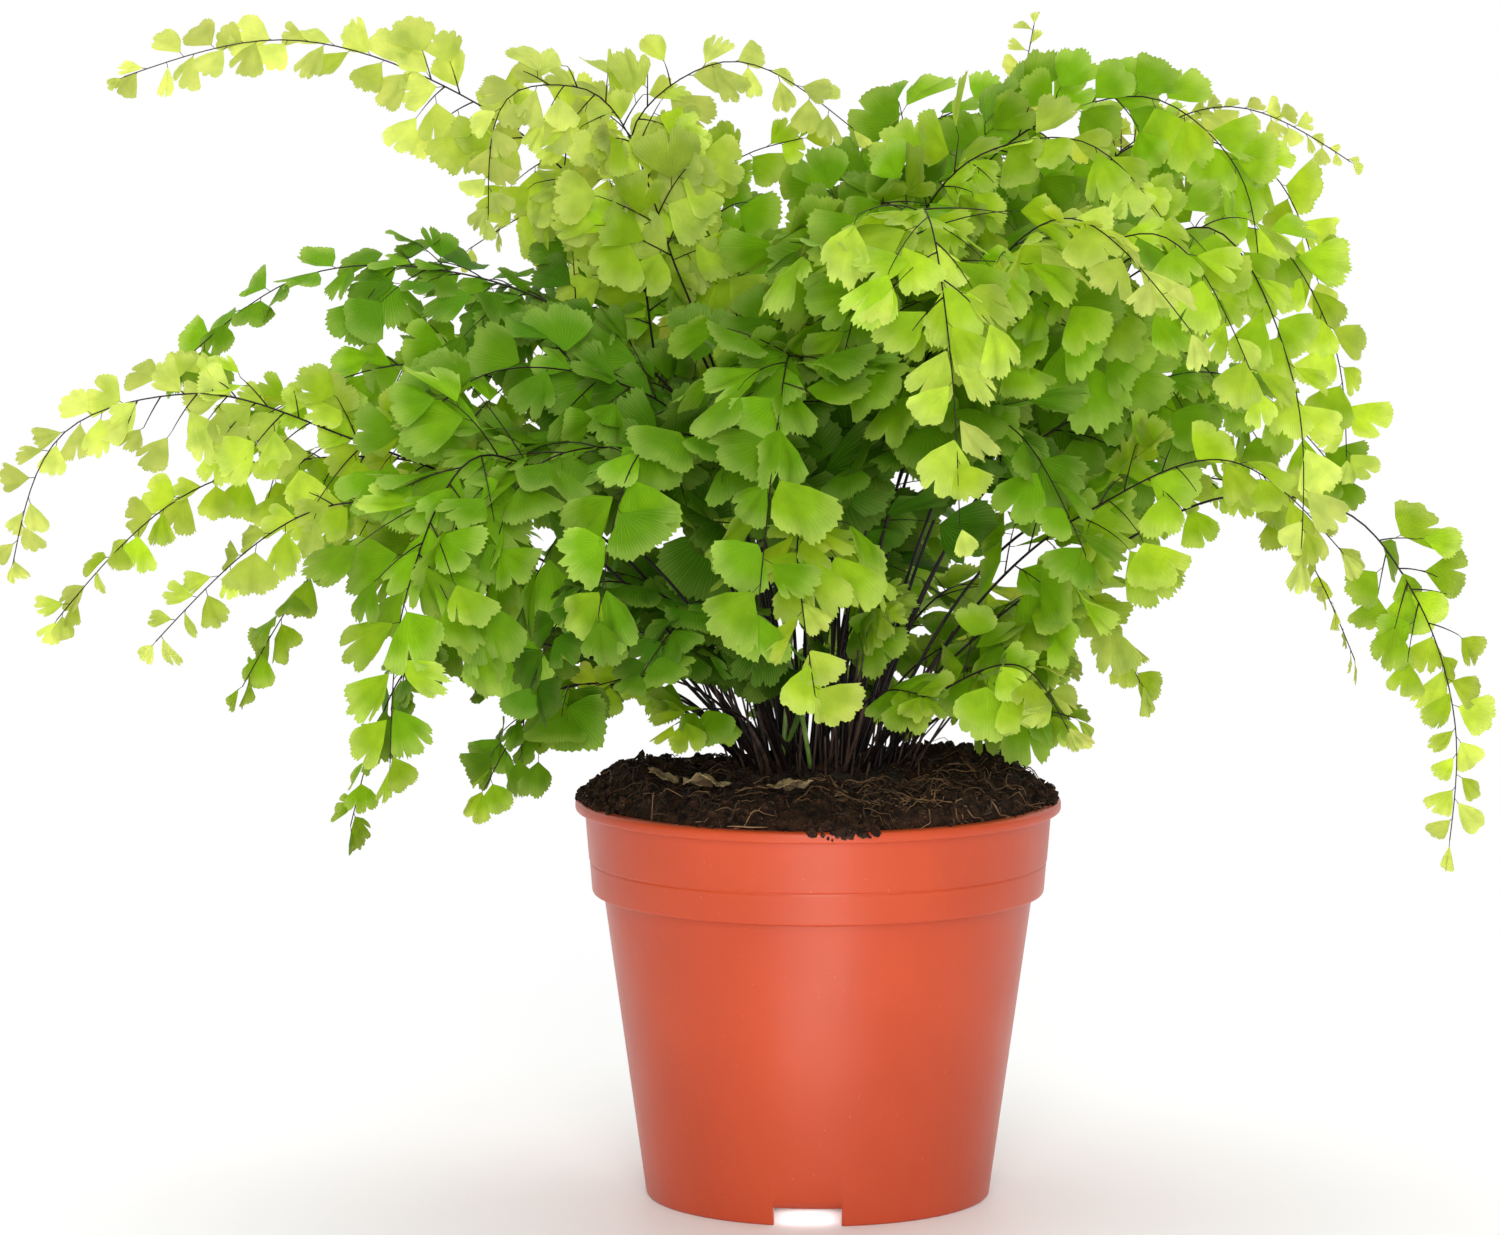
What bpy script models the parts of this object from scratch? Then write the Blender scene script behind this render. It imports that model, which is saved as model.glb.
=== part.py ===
"""Maidenhair fern in a 12 cm nursery pot: pot, potting soil, rhizome, fronds, croziers and withered leaves.

Metres, +Z up. The origin is the middle of the pot's foot, on the surface that it stands on; -Y is the front.
Each frond is one solid: a wiry stalk whose side faces are drawn out into thin leafy plates, one for each
small branch of leaflets.
"""

import math
from collections import namedtuple

import bmesh
import bpy
import numpy as np
from mathutils import Vector
from mathutils.bvhtree import BVHTree

MM = 0.001

# Driving dimensions, in millimetres.
RIM_RADIUS = 60.6
POT_HEIGHT = 100.0
COLLAR_HEIGHT = 23.5  # from the collar's lower step to the top of the lip
LIP_HEIGHT = 2.8
LIP_OVERHANG = 2.4  # how far the lip stands out from the collar
WALL = 1.2
FOOT_RADIUS = 43.0
SHOULDER_RADIUS = 53.6  # the body's wall just under the collar
COLLAR_STEP = 2.8  # how far the collar stands out from the body
FLOOR_HEIGHT = 5.0  # the floor's underside above the surface
DISH_RADIUS = 9.0  # the middle of the floor is dished down to the surface
NOTCH_WIDTH = 17.0
NOTCH_HEIGHT = 4.5
NOTCH_TURN = -94.0  # degrees: the first notch is just left of the front
HOLE_RADIUS = 4.0
HOLE_CIRCLE = 29.0
POT_SIDES = 40
CLEARANCE = 0.3  # what rests on or beside another piece keeps this gap
CROWN_RADIUS = 27.0
CROWN_FOOT = 97.0
CROWN_SHOULDER = 104.0
CROWN_TOP = 110.0
INNER_FEET = 3.0  # an upright stalk grows this far from the rhizome's middle
OUTER_FEET = 25.0  # and a stalk that lies flat this far
SOIL_SIDES = 36
STALK_THICK = 1.2  # the stalk's width at the rhizome
STALK_THIN = 0.7  # and at the tip
STALK_SEAT = 0.75  # from the rhizome to the middle of a stalk's first ring, so that the stalk clears it
STALK_SAMPLES = 120  # points along a stalk's curve, from which its rings are read
LEAF_THICK = 0.6
BARE_RINGS = 6  # rings along the bare part of a stalk
PLATE_SPACING = 14.0  # one leafy plate for each such length of stalk
PLATE_NECK = 2.0  # the width of a plate where it leaves the stalk
PLATE_WIDTH = 1.55  # a plate's widest place as a multiple of the leaflet's width
# Ways of keeping a plate clear of its neighbours: its length as a share, and degrees of tilt.
PLATE_TRIES = ((1, 0), (0.9, 14), (0.9, -16), (0.75, 26), (0.75, -30), (0.6, 0), (0.6, 40), (0.5, -45))

LEAF_YOUNG = (0.42, 0.62, 0.09)
LEAF_OLD = (0.08, 0.24, 0.02)

# A frond: the points that its stalk passes on its way from the rhizome to its tip, the share of the stalk
# that is bare, the reach of its longest side branch, its leaflet's width, how far its face is turned to the
# front (0 is as gravity hangs it, 1 is all the way) and how young it is.
Frond = namedtuple("Frond", "route bare reach leaf turned young")

# The ways of moving a stalk aside: degrees round the rhizome and millimetres of bow, smallest first.
STALK_SHIFTS = sorted(
    ((turn, bow) for turn in range(-90, 91, 15) for bow in (-9, -6, -3, 0, 3, 6, 9)),
    key=lambda shift: abs(shift[0]) / 15 + abs(shift[1]) / 3,
)

FRONDS = {
    "left_1": Frond(
        [(-38, 4, 226), (-86, 10, 273), (-132, 12, 288), (-172, 8, 279)],
        0.50, 14, 11, 0.9, 0.95,
    ),
    "left_2": Frond(
        [(-40, -6, 206), (-86, -12, 231), (-126, -14, 231), (-156, -16, 210)],
        0.34, 26, 14, 0.4, 0.15,
    ),
    "left_3": Frond([(-45, -30, 204), (-82, -48, 209), (-104, -58, 189)], 0.34, 28, 19, 0.7, 0.2),
    "left_4": Frond(
        [(-62, -22, 168), (-112, -34, 192), (-152, -40, 204), (-182, -42, 195), (-195, -43, 163)],
        0.48, 17, 12, 0.9, 0.9,
    ),
    "left_5": Frond(
        [(-60, -4, 170), (-112, -8, 186), (-152, -12, 179), (-188, -14, 146)],
        0.46, 15, 10, 0.8, 0.7,
    ),
    "left_6": Frond([(-62, -38, 157), (-116, -48, 178), (-160, -50, 145)], 0.44, 16, 11, 0.8, 0.75),
    "left_7": Frond([(-58, 10, 152), (-108, 10, 169), (-144, 6, 127)], 0.42, 15, 11, 0.3, 0.5),
    "left_8": Frond([(-55, -28, 138), (-92, -38, 144), (-114, -42, 99)], 0.48, 16, 14, 0.2, 0.4),
    "left_9": Frond([(-38, -30, 129), (-64, -42, 132), (-81, -46, 109)], 0.64, 10, 11, 0.2, 0.4),
    "left_10": Frond([(-50, -14, 190), (-100, -24, 210), (-142, -28, 194)], 0.40, 25, 14, 0.7, 0.4),
    "top_1": Frond(
        [(-34, -12, 230), (-58, -22, 277), (-74, -32, 276), (-80, -38, 247)],
        0.56, 24, 13, 0.8, 0.95,
    ),
    "top_2": Frond(
        [(-40, -2, 207), (-44, -6, 243), (-45, -9, 268), (-24, -12, 283), (8, -14, 267)],
        0.50, 22, 13, 0.9, 0.95,
    ),
    "top_3": Frond([(-21, 6, 228), (-23, 6, 256), (-4, 2, 264)], 0.64, 27, 13, 0.8, 0.65),
    "top_4": Frond([(-30, 24, 225), (-52, 30, 249), (-88, 32, 235)], 0.52, 28, 13, 0.6, 0.8),
    "top_5": Frond([(9, -14, 228), (15, -38, 251), (5, -71, 215)], 0.42, 31, 17, 0.0, 0.4),
    "top_6": Frond(
        [(28, -2, 243), (52, -8, 267), (82, -14, 274), (101, -20, 258), (107, -24, 230)],
        0.42, 22, 16, 0.9, 0.45,
    ),
    "top_7": Frond([(32, 32, 232), (50, 44, 269), (55, 46, 291)], 0.72, 8, 7, 0.9, 1.0),
    "top_8": Frond([(58, 40, 244), (108, 56, 270), (137, 60, 256)], 0.66, 8, 7, 0.9, 1.0),
    "top_9": Frond([(4, 18, 226), (-12, 44, 233), (-26, 66, 217)], 0.44, 32, 14, 0.2, 0.4),
    "top_10": Frond([(15, 8, 236), (22, 14, 262), (40, 20, 271), (62, 28, 252)], 0.48, 26, 15, 0.6, 0.45),
    "top_11": Frond(
        [(18, -20, 234), (38, -34, 261), (62, -44, 265), (84, -50, 243)],
        0.42, 28, 17, 0.6, 0.65,
    ),
    "right_10": Frond(
        [(52, 12, 236), (86, 16, 264), (112, 18, 256), (125, 18, 228)],
        0.50, 22, 15, 0.8, 0.55,
    ),
    "right_1": Frond(
        [(60, -26, 224), (94, -48, 244), (112, -62, 209), (114, -66, 169)],
        0.42, 20, 17, 0.7, 0.65,
    ),
    "front_1": Frond(
        [(-6, -34, 201), (-8, -70, 215), (-12, -98, 190), (-15, -106, 160)],
        0.36, 31, 20, 0.0, 0.3,
    ),
    "front_2": Frond(
        [(14, -42, 223), (24, -86, 250), (29, -110, 218), (31, -118, 180)],
        0.46, 34, 18, 0.0, 0.85,
    ),
    "front_3": Frond([(32, -46, 223), (60, -88, 248), (84, -108, 224)], 0.40, 28, 18, 0.3, 0.75),
    "front_4": Frond([(46, -36, 223), (82, -62, 243), (102, -76, 209)], 0.40, 22, 17, 0.5, 0.55),
    "front_5": Frond([(-3, -58, 173), (-6, -98, 170), (-2, -114, 140)], 0.50, 20, 17, 0.0, 0.7),
    "front_6": Frond([(-26, -50, 193), (-44, -90, 192), (-52, -106, 158)], 0.36, 29, 21, 0.0, 0.3),
    "front_7": Frond([(-46, -46, 191), (-70, -76, 187), (-80, -90, 152)], 0.38, 27, 20, 0.2, 0.3),
    "front_9": Frond([(-36, -56, 155), (-58, -80, 161), (-68, -92, 140)], 0.44, 24, 19, 0.0, 0.3),
    "front_10": Frond([(-18, -60, 151), (-32, -92, 156), (-42, -106, 144)], 0.48, 20, 18, 0.0, 0.15),
    "front_11": Frond(
        [(-52, -42, 173), (-82, -68, 191), (-97, -90, 162), (-101, -97, 122)],
        0.44, 22, 22, 0.6, 0.5,
    ),
    "front_12": Frond([(22, -30, 191), (46, -58, 199), (62, -80, 169)], 0.34, 31, 17, 0.1, 0.15),
    "right_2": Frond(
        [(70, -6, 226), (108, -14, 242), (125, -18, 217), (129, -20, 187)],
        0.46, 18, 15, 0.8, 0.6,
    ),
    "right_3": Frond(
        [(66, -16, 160), (104, -24, 178), (130, -28, 173), (145, -30, 154), (155, -32, 123), (154, -33, 94)],
        0.66, 10, 16, 0.9, 0.75,
    ),
    "right_4": Frond([(64, -40, 175), (98, -56, 189), (124, -62, 168)], 0.38, 22, 16, 0.6, 0.3),
    "right_5": Frond([(45, 18, 212), (86, 26, 214), (114, 30, 183)], 0.38, 25, 15, 0.3, 0.2),
    "right_6": Frond([(34, -20, 138), (62, -30, 157), (78, -34, 133)], 0.40, 24, 16, 0.3, 0.35),
    "right_7": Frond([(28, -40, 131), (49, -54, 139), (59, -60, 125)], 0.56, 11, 13, 0.7, 0.5),
    "right_8": Frond([(58, 6, 170), (104, 6, 178), (134, 4, 134)], 0.46, 11, 10, 0.2, 0.45),
    "right_9": Frond([(60, -8, 194), (98, -12, 207), (128, -14, 182)], 0.40, 26, 16, 0.7, 0.3),
    "back_1": Frond([(36, 42, 204), (62, 84, 205), (78, 108, 170)], 0.38, 31, 17, 0.0, 0.35),
    "back_2": Frond([(16, 46, 215), (28, 94, 214), (36, 122, 178)], 0.42, 33, 17, 0.0, 0.5),
    "back_3": Frond([(-8, 50, 204), (-14, 100, 204), (-20, 128, 164)], 0.38, 33, 18, 0.0, 0.3),
    "back_4": Frond([(-32, 44, 207), (-54, 86, 206), (-70, 112, 174)], 0.42, 31, 17, 0.0, 0.6),
    "back_5": Frond([(-24, 34, 137), (-42, 62, 145), (-54, 82, 123)], 0.34, 27, 18, 0.0, 0.1),
    "back_6": Frond([(58, 30, 189), (98, 56, 195), (124, 76, 159)], 0.42, 28, 16, 0.0, 0.5),
    "back_7": Frond([(8, 56, 159), (14, 98, 158), (18, 126, 114)], 0.30, 29, 18, 0.0, 0.25),
    "back_8": Frond([(22, 34, 137), (40, 60, 147), (52, 80, 125)], 0.34, 27, 18, 0.0, 0.15),
}

# A crozier: where it leaves the rhizome, where it bends over, where its coil starts and the coil's radius.
CROZIERS = {
    "crozier_low": ((-2, -16), (-20, -40, 150), (-34, -46, 141), 3.0),
    "crozier_high": ((-9, -12), (-24, -26, 212), (-31, -30, 219), 3.2),
}
STEM_RINGS = 12
COIL_RINGS = 14
COIL_TURNS = 1.3
# A dry stalk: where it leaves the rhizome, a point half-way up and its broken end.
DRY_STALKS = {
    "dry_stalk_1": ((6, -18), (9, -23, 118), (11, -27, 127)),
    "dry_stalk_2": ((-12, -19), (-14, -24, 115), (-17, -27, 121)),
}
# A withered leaf's stalk end, the way it points in degrees and its length.
WITHERED = {
    "withered_leaf_1": (-25, -25, -112, 14),
    "withered_leaf_2": (-33, -14, -172, 11),
    "withered_leaf_3": (-10, -31, -66, 13),
}


def unit(v):
    return v / np.linalg.norm(v)


def material(name, color, roughness):
    made = bpy.data.materials.new(name)
    made.use_nodes = True
    shader = made.node_tree.nodes["Principled BSDF"]
    shader.inputs["Base Color"].default_value = (*color, 1)
    shader.inputs["Roughness"].default_value = roughness
    return made


def put_in_scene(name, mesh, finish):
    piece = bpy.data.objects.new(name, mesh)
    piece.data.materials.append(finish)
    bpy.context.scene.collection.objects.link(piece)
    return piece


def mesh_from(name, corners, faces):
    """A mesh whose corners are given in millimetres, with its faces turned outwards."""
    bm = bmesh.new()
    points = [bm.verts.new(Vector(c) * MM) for c in corners]
    for face in faces:
        bm.faces.new([points[i] for i in face])
    bmesh.ops.recalc_face_normals(bm, faces=bm.faces)
    mesh = bpy.data.meshes.new(name)
    bm.to_mesh(mesh)
    bm.free()
    return mesh


# The pot -----------------------------------------------------------------------------------------------


def wall_radius(height):
    """The radius of the body's outside at this height, along its straight taper."""
    collar_foot = POT_HEIGHT - COLLAR_HEIGHT
    return FOOT_RADIUS + (SHOULDER_RADIUS - FOOT_RADIUS) * height / collar_foot


def pot_profile():
    """From the floor's middle, up the inside, over the lip, down the outside and back under the floor."""
    collar_foot = POT_HEIGHT - COLLAR_HEIGHT
    collar_out = SHOULDER_RADIUS + COLLAR_STEP
    collar_top = POT_HEIGHT - LIP_HEIGHT
    under_lip = RIM_RADIUS - LIP_OVERHANG
    floor_top = FLOOR_HEIGHT + WALL
    return [
        (0, WALL),
        (DISH_RADIUS - 0.6, WALL),
        (DISH_RADIUS + 2.4, floor_top),
        (wall_radius(floor_top) - WALL, floor_top),
        (SHOULDER_RADIUS - WALL, collar_foot + 0.8),
        (collar_out - WALL, collar_foot + 1.8),
        (under_lip - WALL, POT_HEIGHT - 0.6),
        (under_lip - WALL + 0.6, POT_HEIGHT),
        (RIM_RADIUS - 0.9, POT_HEIGHT),
        (RIM_RADIUS, POT_HEIGHT - 0.9),
        (RIM_RADIUS, POT_HEIGHT - LIP_HEIGHT + 0.8),
        (RIM_RADIUS - 0.8, POT_HEIGHT - LIP_HEIGHT),
        (under_lip, collar_top - 0.2),
        (collar_out, collar_foot + 0.6),
        (collar_out - 0.6, collar_foot),
        (SHOULDER_RADIUS, collar_foot),
        (FOOT_RADIUS, 0),
        (FOOT_RADIUS - WALL, 0),
        (wall_radius(FLOOR_HEIGHT) - WALL, FLOOR_HEIGHT),
        (DISH_RADIUS + 3, FLOOR_HEIGHT),
        (DISH_RADIUS, 0),
        (0, 0),
    ]


def cutter(name, mesh_maker, place, turn=0.0):
    """A hidden shape that a Boolean takes away."""
    bm = bmesh.new()
    mesh_maker(bm)
    mesh = bpy.data.meshes.new(name)
    bm.to_mesh(mesh)
    bm.free()
    piece = bpy.data.objects.new(name, mesh)
    bpy.context.scene.collection.objects.link(piece)
    piece.location = Vector(place) * MM
    piece.rotation_euler.z = turn
    piece.hide_render = True
    piece.display_type = "WIRE"
    return piece


def notch_block(bm):
    bmesh.ops.create_cube(bm, size=1)
    bmesh.ops.scale(bm, vec=(10 * MM, NOTCH_WIDTH * MM, 2 * NOTCH_HEIGHT * MM), verts=bm.verts)


def drain_plug(bm):
    bmesh.ops.create_cone(
        bm, cap_ends=True, segments=12, radius1=HOLE_RADIUS * MM, radius2=HOLE_RADIUS * MM, depth=8 * MM
    )


def make_pot():
    profile = pot_profile()
    mesh = bpy.data.meshes.new("pot")
    mesh.from_pydata(
        [(r * MM, 0, z * MM) for r, z in profile], [(i, i + 1) for i in range(len(profile) - 1)], []
    )
    pot = put_in_scene("pot", mesh, material("terracotta_plastic", (0.67, 0.10, 0.05), 0.35))
    turn = pot.modifiers.new("turn", "SCREW")
    turn.axis = "Z"
    turn.steps = turn.render_steps = POT_SIDES
    turn.use_merge_vertices = True
    turn.merge_threshold = 0.0001
    cuts = []
    for i in range(3):
        at = math.radians(NOTCH_TURN + 120 * i)
        reach = FOOT_RADIUS - 1
        spot = (reach * math.cos(at), reach * math.sin(at), 0)
        cuts.append(cutter(f"notch_{i}", notch_block, spot, at))
    for i in range(6):
        at = math.radians(NOTCH_TURN + 30 + 60 * i)
        spot = (HOLE_CIRCLE * math.cos(at), HOLE_CIRCLE * math.sin(at), FLOOR_HEIGHT)
        cuts.append(cutter(f"drain_{i}", drain_plug, spot))
    for cut in cuts:
        away = pot.modifiers.new(cut.name, "BOOLEAN")
        away.operation = "DIFFERENCE"
        away.solver = "EXACT"
        away.object = cut


# The soil and the rhizome ------------------------------------------------------------------------------


def soil_height(radius, turn):
    """The soil's top: a low mound round the rhizome that falls to the rim, with a heap at the right and
    behind and a smaller one at the left, and slow bumps over it all."""
    fall = (radius - CROWN_RADIUS) / (RIM_RADIUS - CROWN_RADIUS)
    x, y = radius * math.cos(turn), radius * math.sin(turn)
    level = 104.8 - 5.2 * max(fall, 0) ** 2.5
    heap_right = 5.6 * math.exp(-((x - 38) ** 2 + (y - 20) ** 2) / 260)
    heap_left = 6.0 * math.exp(-((x + 47) ** 2 + (y - 6) ** 2) / 220)
    bumps = 0.7 * math.sin(0.31 * x + 1.0) * math.sin(0.27 * y + 2.0)
    return level + heap_right + heap_left + bumps * min(1, max(0, 2.2 * (1 - fall)))


def ring(radius, height_at):
    turns = [2 * math.pi * i / SOIL_SIDES for i in range(SOIL_SIDES)]
    return [(radius * math.cos(a), radius * math.sin(a), height_at(a)) for a in turns]


def lathe_of_rings(name, low, rings, high):
    """A closed solid from a bottom point, a stack of rings and a top point, all in millimetres."""
    corners = [low] + [c for r in rings for c in r] + [high]
    count, last = SOIL_SIDES, len(rings) - 1
    faces = []
    for i in range(count):
        j = (i + 1) % count
        faces.append((0, 1 + j, 1 + i))
        faces.append((len(corners) - 1, 1 + last * count + i, 1 + last * count + j))
        for k in range(last):
            a, b = 1 + k * count, 1 + (k + 1) * count
            faces.append((a + i, a + j, b + j, b + i))
    return mesh_from(name, corners, faces)


def make_soil():
    gap = CLEARANCE
    collar_foot = POT_HEIGHT - COLLAR_HEIGHT
    floor_top = FLOOR_HEIGHT + WALL + gap
    inside_collar = SHOULDER_RADIUS + COLLAR_STEP - WALL - gap - 0.15
    inside_rim = RIM_RADIUS - LIP_OVERHANG - WALL - gap - 0.15
    pocket = CROWN_RADIUS + gap
    rings = [
        ring(DISH_RADIUS - 1.0, lambda a: WALL + gap),
        ring(DISH_RADIUS + 1.7, lambda a: floor_top),
        ring(wall_radius(floor_top) - WALL - gap - 0.1, lambda a: floor_top),
        ring(SHOULDER_RADIUS - WALL - gap - 0.15, lambda a: collar_foot + 1.2),
        ring(inside_collar, lambda a: collar_foot + 2.3),
        ring(inside_rim, lambda a: soil_height(inside_rim, a)),
    ]
    for radius in (50.0, 43.0, 35.0):
        rings.append(ring(radius, lambda a, r=radius: soil_height(r, a)))
    rings.append(ring(pocket, lambda a: soil_height(pocket, a)))
    rings.append(ring(pocket, lambda a: CROWN_FOOT - gap))
    mesh = lathe_of_rings("soil", (0, 0, WALL + gap), rings, (0, 0, CROWN_FOOT - gap))
    return put_in_scene("soil", mesh, material("peat", (0.03, 0.016, 0.01), 0.95))


def crown_height(radius):
    """The rhizome's domed top."""
    share = min(radius / CROWN_RADIUS, 1)
    return CROWN_SHOULDER + (CROWN_TOP - CROWN_SHOULDER) * math.sqrt(1 - share**2)


def above_crown(x, y, lift):
    """The point this far off the rhizome's domed top, square to the surface at (x, y)."""
    radius = math.hypot(x, y)
    share = radius / CROWN_RADIUS
    rise = CROWN_TOP - CROWN_SHOULDER
    slope = rise * share / math.sqrt(1 - share**2) / CROWN_RADIUS
    normal = unit(np.array([slope * x / radius, slope * y / radius, 1]))
    return np.array([x, y, crown_height(radius)]) + lift * normal


def make_rhizome():
    edge = CROWN_RADIUS
    rings = [ring(edge, lambda a: CROWN_FOOT), ring(edge, lambda a: CROWN_SHOULDER)]
    for radius in (0.96 * edge, 0.84 * edge, 0.6 * edge, 0.3 * edge):
        rings.append(ring(radius, lambda a, r=radius: crown_height(r)))
    mesh = lathe_of_rings("rhizome", (0, 0, CROWN_FOOT), rings, (0, 0, CROWN_TOP))
    return put_in_scene("rhizome", mesh, material("rhizome_scales", (0.02, 0.012, 0.01), 0.8))


# The fronds --------------------------------------------------------------------------------------------


def smooth_line(through, count):
    """Points evenly spaced along a smooth curve through the given points: a cubic Hermite curve whose
    slope at each point is that of the parabola through it and its neighbours."""
    p = np.array(through, float)
    t = np.concatenate([[0], np.cumsum(np.linalg.norm(np.diff(p, axis=0), axis=1))])
    step, chord = np.diff(t)[:, None], np.diff(p, axis=0)
    rate = chord / step
    slope = np.empty_like(p)
    slope[1:-1] = (rate[:-1] * step[1:] + rate[1:] * step[:-1]) / (step[1:] + step[:-1])
    slope[0], slope[-1] = 1.5 * rate[0] - 0.5 * slope[1], 1.5 * rate[-1] - 0.5 * slope[-2]
    at = np.linspace(0, t[-1], 8 * count)
    k = np.clip(np.searchsorted(t, at, "right") - 1, 0, len(p) - 2)
    h = step[k]
    s = (at[:, None] - t[k][:, None]) / h
    fine = (
        (1 + 2 * s) * (1 - s) ** 2 * p[k]
        + s * (1 - s) ** 2 * h * slope[k]
        + s**2 * (3 - 2 * s) * p[k + 1]
        + s**2 * (s - 1) * h * slope[k + 1]
    )
    along = np.concatenate([[0], np.cumsum(np.linalg.norm(np.diff(fine, axis=0), axis=1))])
    even = np.linspace(0, along[-1], count)
    return np.stack([np.interp(even, along, fine[:, i]) for i in range(3)], axis=1)


def stalk_foot(route, turn):
    """Where a stalk leaves the rhizome: the more it leans, the nearer the edge it grows. The turn, in
    degrees, moves it round to a free place."""
    x, y, z = route[0]
    lean = math.atan2(math.hypot(x, y), z - CROWN_TOP)
    radius = INNER_FEET + (OUTER_FEET - INNER_FEET) * lean / (math.pi / 2)
    way = math.atan2(y, x) + math.radians(turn)
    return above_crown(radius * math.cos(way), radius * math.sin(way), STALK_SEAT)


def stalk_frames(line, turned):
    """For each point of a stalk: the way it runs, its upper face and its side. The face is the one that
    gravity gives an arching leaf, turned towards the front by the given share."""
    along = np.gradient(line, axis=0)
    along /= np.linalg.norm(along, axis=1)[:, None]
    front = np.array([0, -1, 0.25])
    face = np.empty_like(line)
    hung = -np.array([line[-1][0], line[-1][1], 0]) / np.hypot(*line[-1][:2])
    for i, run in enumerate(along):
        hung = hung - (hung @ run) * run
        lifted = np.array([0, 0, 1]) - run[2] * run
        hung = unit(lifted + 0.4 * unit(hung))
        shown = front - (front @ run) * run
        face[i] = unit((1 - turned) * hung + turned * shown)
    return along, face, np.cross(along, face)


def plate_sections(root, way, face, across, length, width, margin=0.0):
    """The two outer sections of a leafy plate: its widest place and its blunt end, each four corners. The
    margin swells the plate on every side."""
    end_way = unit(way - (0, 0, 0.3))
    length, width = length + margin, width + 2 * margin
    sections = []
    for share, wide, run in ((0.55, 0.5, way), (1.0, 0.3, end_way)):
        middle = root + share * length * run
        flat = unit(face - (face @ run) * run)
        chord = np.cross(flat, run)
        chord *= math.copysign(1, chord @ across)
        half = (0.5 * LEAF_THICK + margin) * flat
        a, b = middle - wide * width * chord, middle + wide * width * chord
        sections.append([a - half, a + half, b + half, b - half])
    return sections


def closed_tube(sections):
    """The corners and faces of the tube through these four-cornered sections, with both ends closed."""
    corners = [tuple(c) for s in sections for c in s]
    last = 4 * (len(sections) - 1)
    faces = [(0, 1, 2, 3), (last, last + 1, last + 2, last + 3)]
    for a in range(0, last, 4):
        faces += [(a + i, a + (i + 1) % 4, a + 4 + (i + 1) % 4, a + 4 + i) for i in range(4)]
    return corners, faces


def tree_of(sections):
    return BVHTree.FromPolygons(*closed_tube(sections))


class Stalk:
    """A frond's stalk: its rings of four corners, left low, left high, right high and right low. Each leafy
    plate has a short stretch of the stalk between two rings to grow from."""

    def __init__(self, frond, turn=0.0, bow=0.0):
        self.frond = frond
        fine = smooth_line([stalk_foot(frond.route, turn), *frond.route], STALK_SAMPLES)
        share = np.linspace(0, 1, STALK_SAMPLES)
        aside = unit(np.cross(fine[-1] - fine[0], (0, 0, 1)))
        fine += bow * np.sin(math.pi * share)[:, None] * aside
        length = np.linalg.norm(np.diff(fine, axis=0), axis=1).sum()
        leafy = length * (1 - frond.bare)
        self.plates = int(np.clip(round(leafy / PLATE_SPACING), 4, 8))
        self.spacing = leafy / self.plates
        bare = np.linspace(0, frond.bare, BARE_RINGS)[:-1]
        roots = np.linspace(frond.bare, 0.95, self.plates)
        neck = 0.5 * PLATE_NECK / length
        place = np.concatenate([bare, np.stack([roots - neck, roots + neck], axis=1).ravel(), [0.995]])
        self.line = np.stack([np.interp(place, share, fine[:, i]) for i in range(3)], axis=1)
        self.along, self.face, self.side = stalk_frames(self.line, frond.turned)
        self.half = 0.5 * (STALK_THICK + (STALK_THIN - STALK_THICK) * place)

    def rings(self, extra=0.0):
        out = (self.half + extra)[:, None] * self.side
        up = (self.half + extra)[:, None] * self.face
        corners = (self.line - out - up, self.line - out + up, self.line + out + up, self.line + out - up)
        return np.stack(corners, axis=1)

    def flank(self, i, side):
        """The corners of the side face between rings i and i + 1."""
        near, far = self.rings()[i : i + 2]
        return [near[0], near[1], far[1], far[0]] if side < 0 else [near[3], near[2], far[2], far[3]]


def touches(tree, others):
    return any(tree.overlap(other) for other in others)


def leafy_plates(stalk, others, seed):
    """The plates of one frond, as {place on the stalk: (left or right, sections)}. A plate is shortened,
    tilted or left out where it would meet another piece."""
    rng = np.random.default_rng(seed)
    frond = stalk.frond
    plates, own = {}, []
    for n in range(stalk.plates):
        i = BARE_RINGS - 1 + 2 * n
        share = n / stalk.plates
        side = 1 if n % 2 else -1
        flank = stalk.flank(i, side)
        root = np.mean(flank, axis=0)
        reach = max(frond.reach * (1 - share) ** 0.7, 0.95 * frond.leaf * (1 - 0.35 * share)) + 2
        width = min(1.5 * stalk.spacing, PLATE_WIDTH * frond.leaf)
        slant = math.radians(rng.uniform(54, 64))
        tilt = rng.uniform(-14, 8)
        for shorter, more_tilt in PLATE_TRIES:
            lift = math.tan(math.radians(tilt + more_tilt))
            flat_way = math.cos(slant) * stalk.along[i] + side * math.sin(slant) * stalk.side[i]
            way = unit(flat_way + lift * stalk.face[i])
            lie = (root, way, stalk.face[i], stalk.along[i], reach * shorter, width)
            body = tree_of([flank, *plate_sections(*lie, CLEARANCE)])
            if not touches(body, others) and not touches(body, own):
                plates[i] = (side, plate_sections(*lie))
                own.append(body)
                break
    end = (stalk.line[-1], stalk.along[-1], stalk.face[-1], stalk.side[-1])
    lie = (*end, 0.6 * frond.leaf, 0.5 * frond.leaf)
    body = tree_of([stalk.rings()[-1], *plate_sections(*lie, CLEARANCE)])
    if not touches(body, others) and not touches(body, own):
        plates["tip"] = (0, plate_sections(*lie))
    return plates


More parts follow.
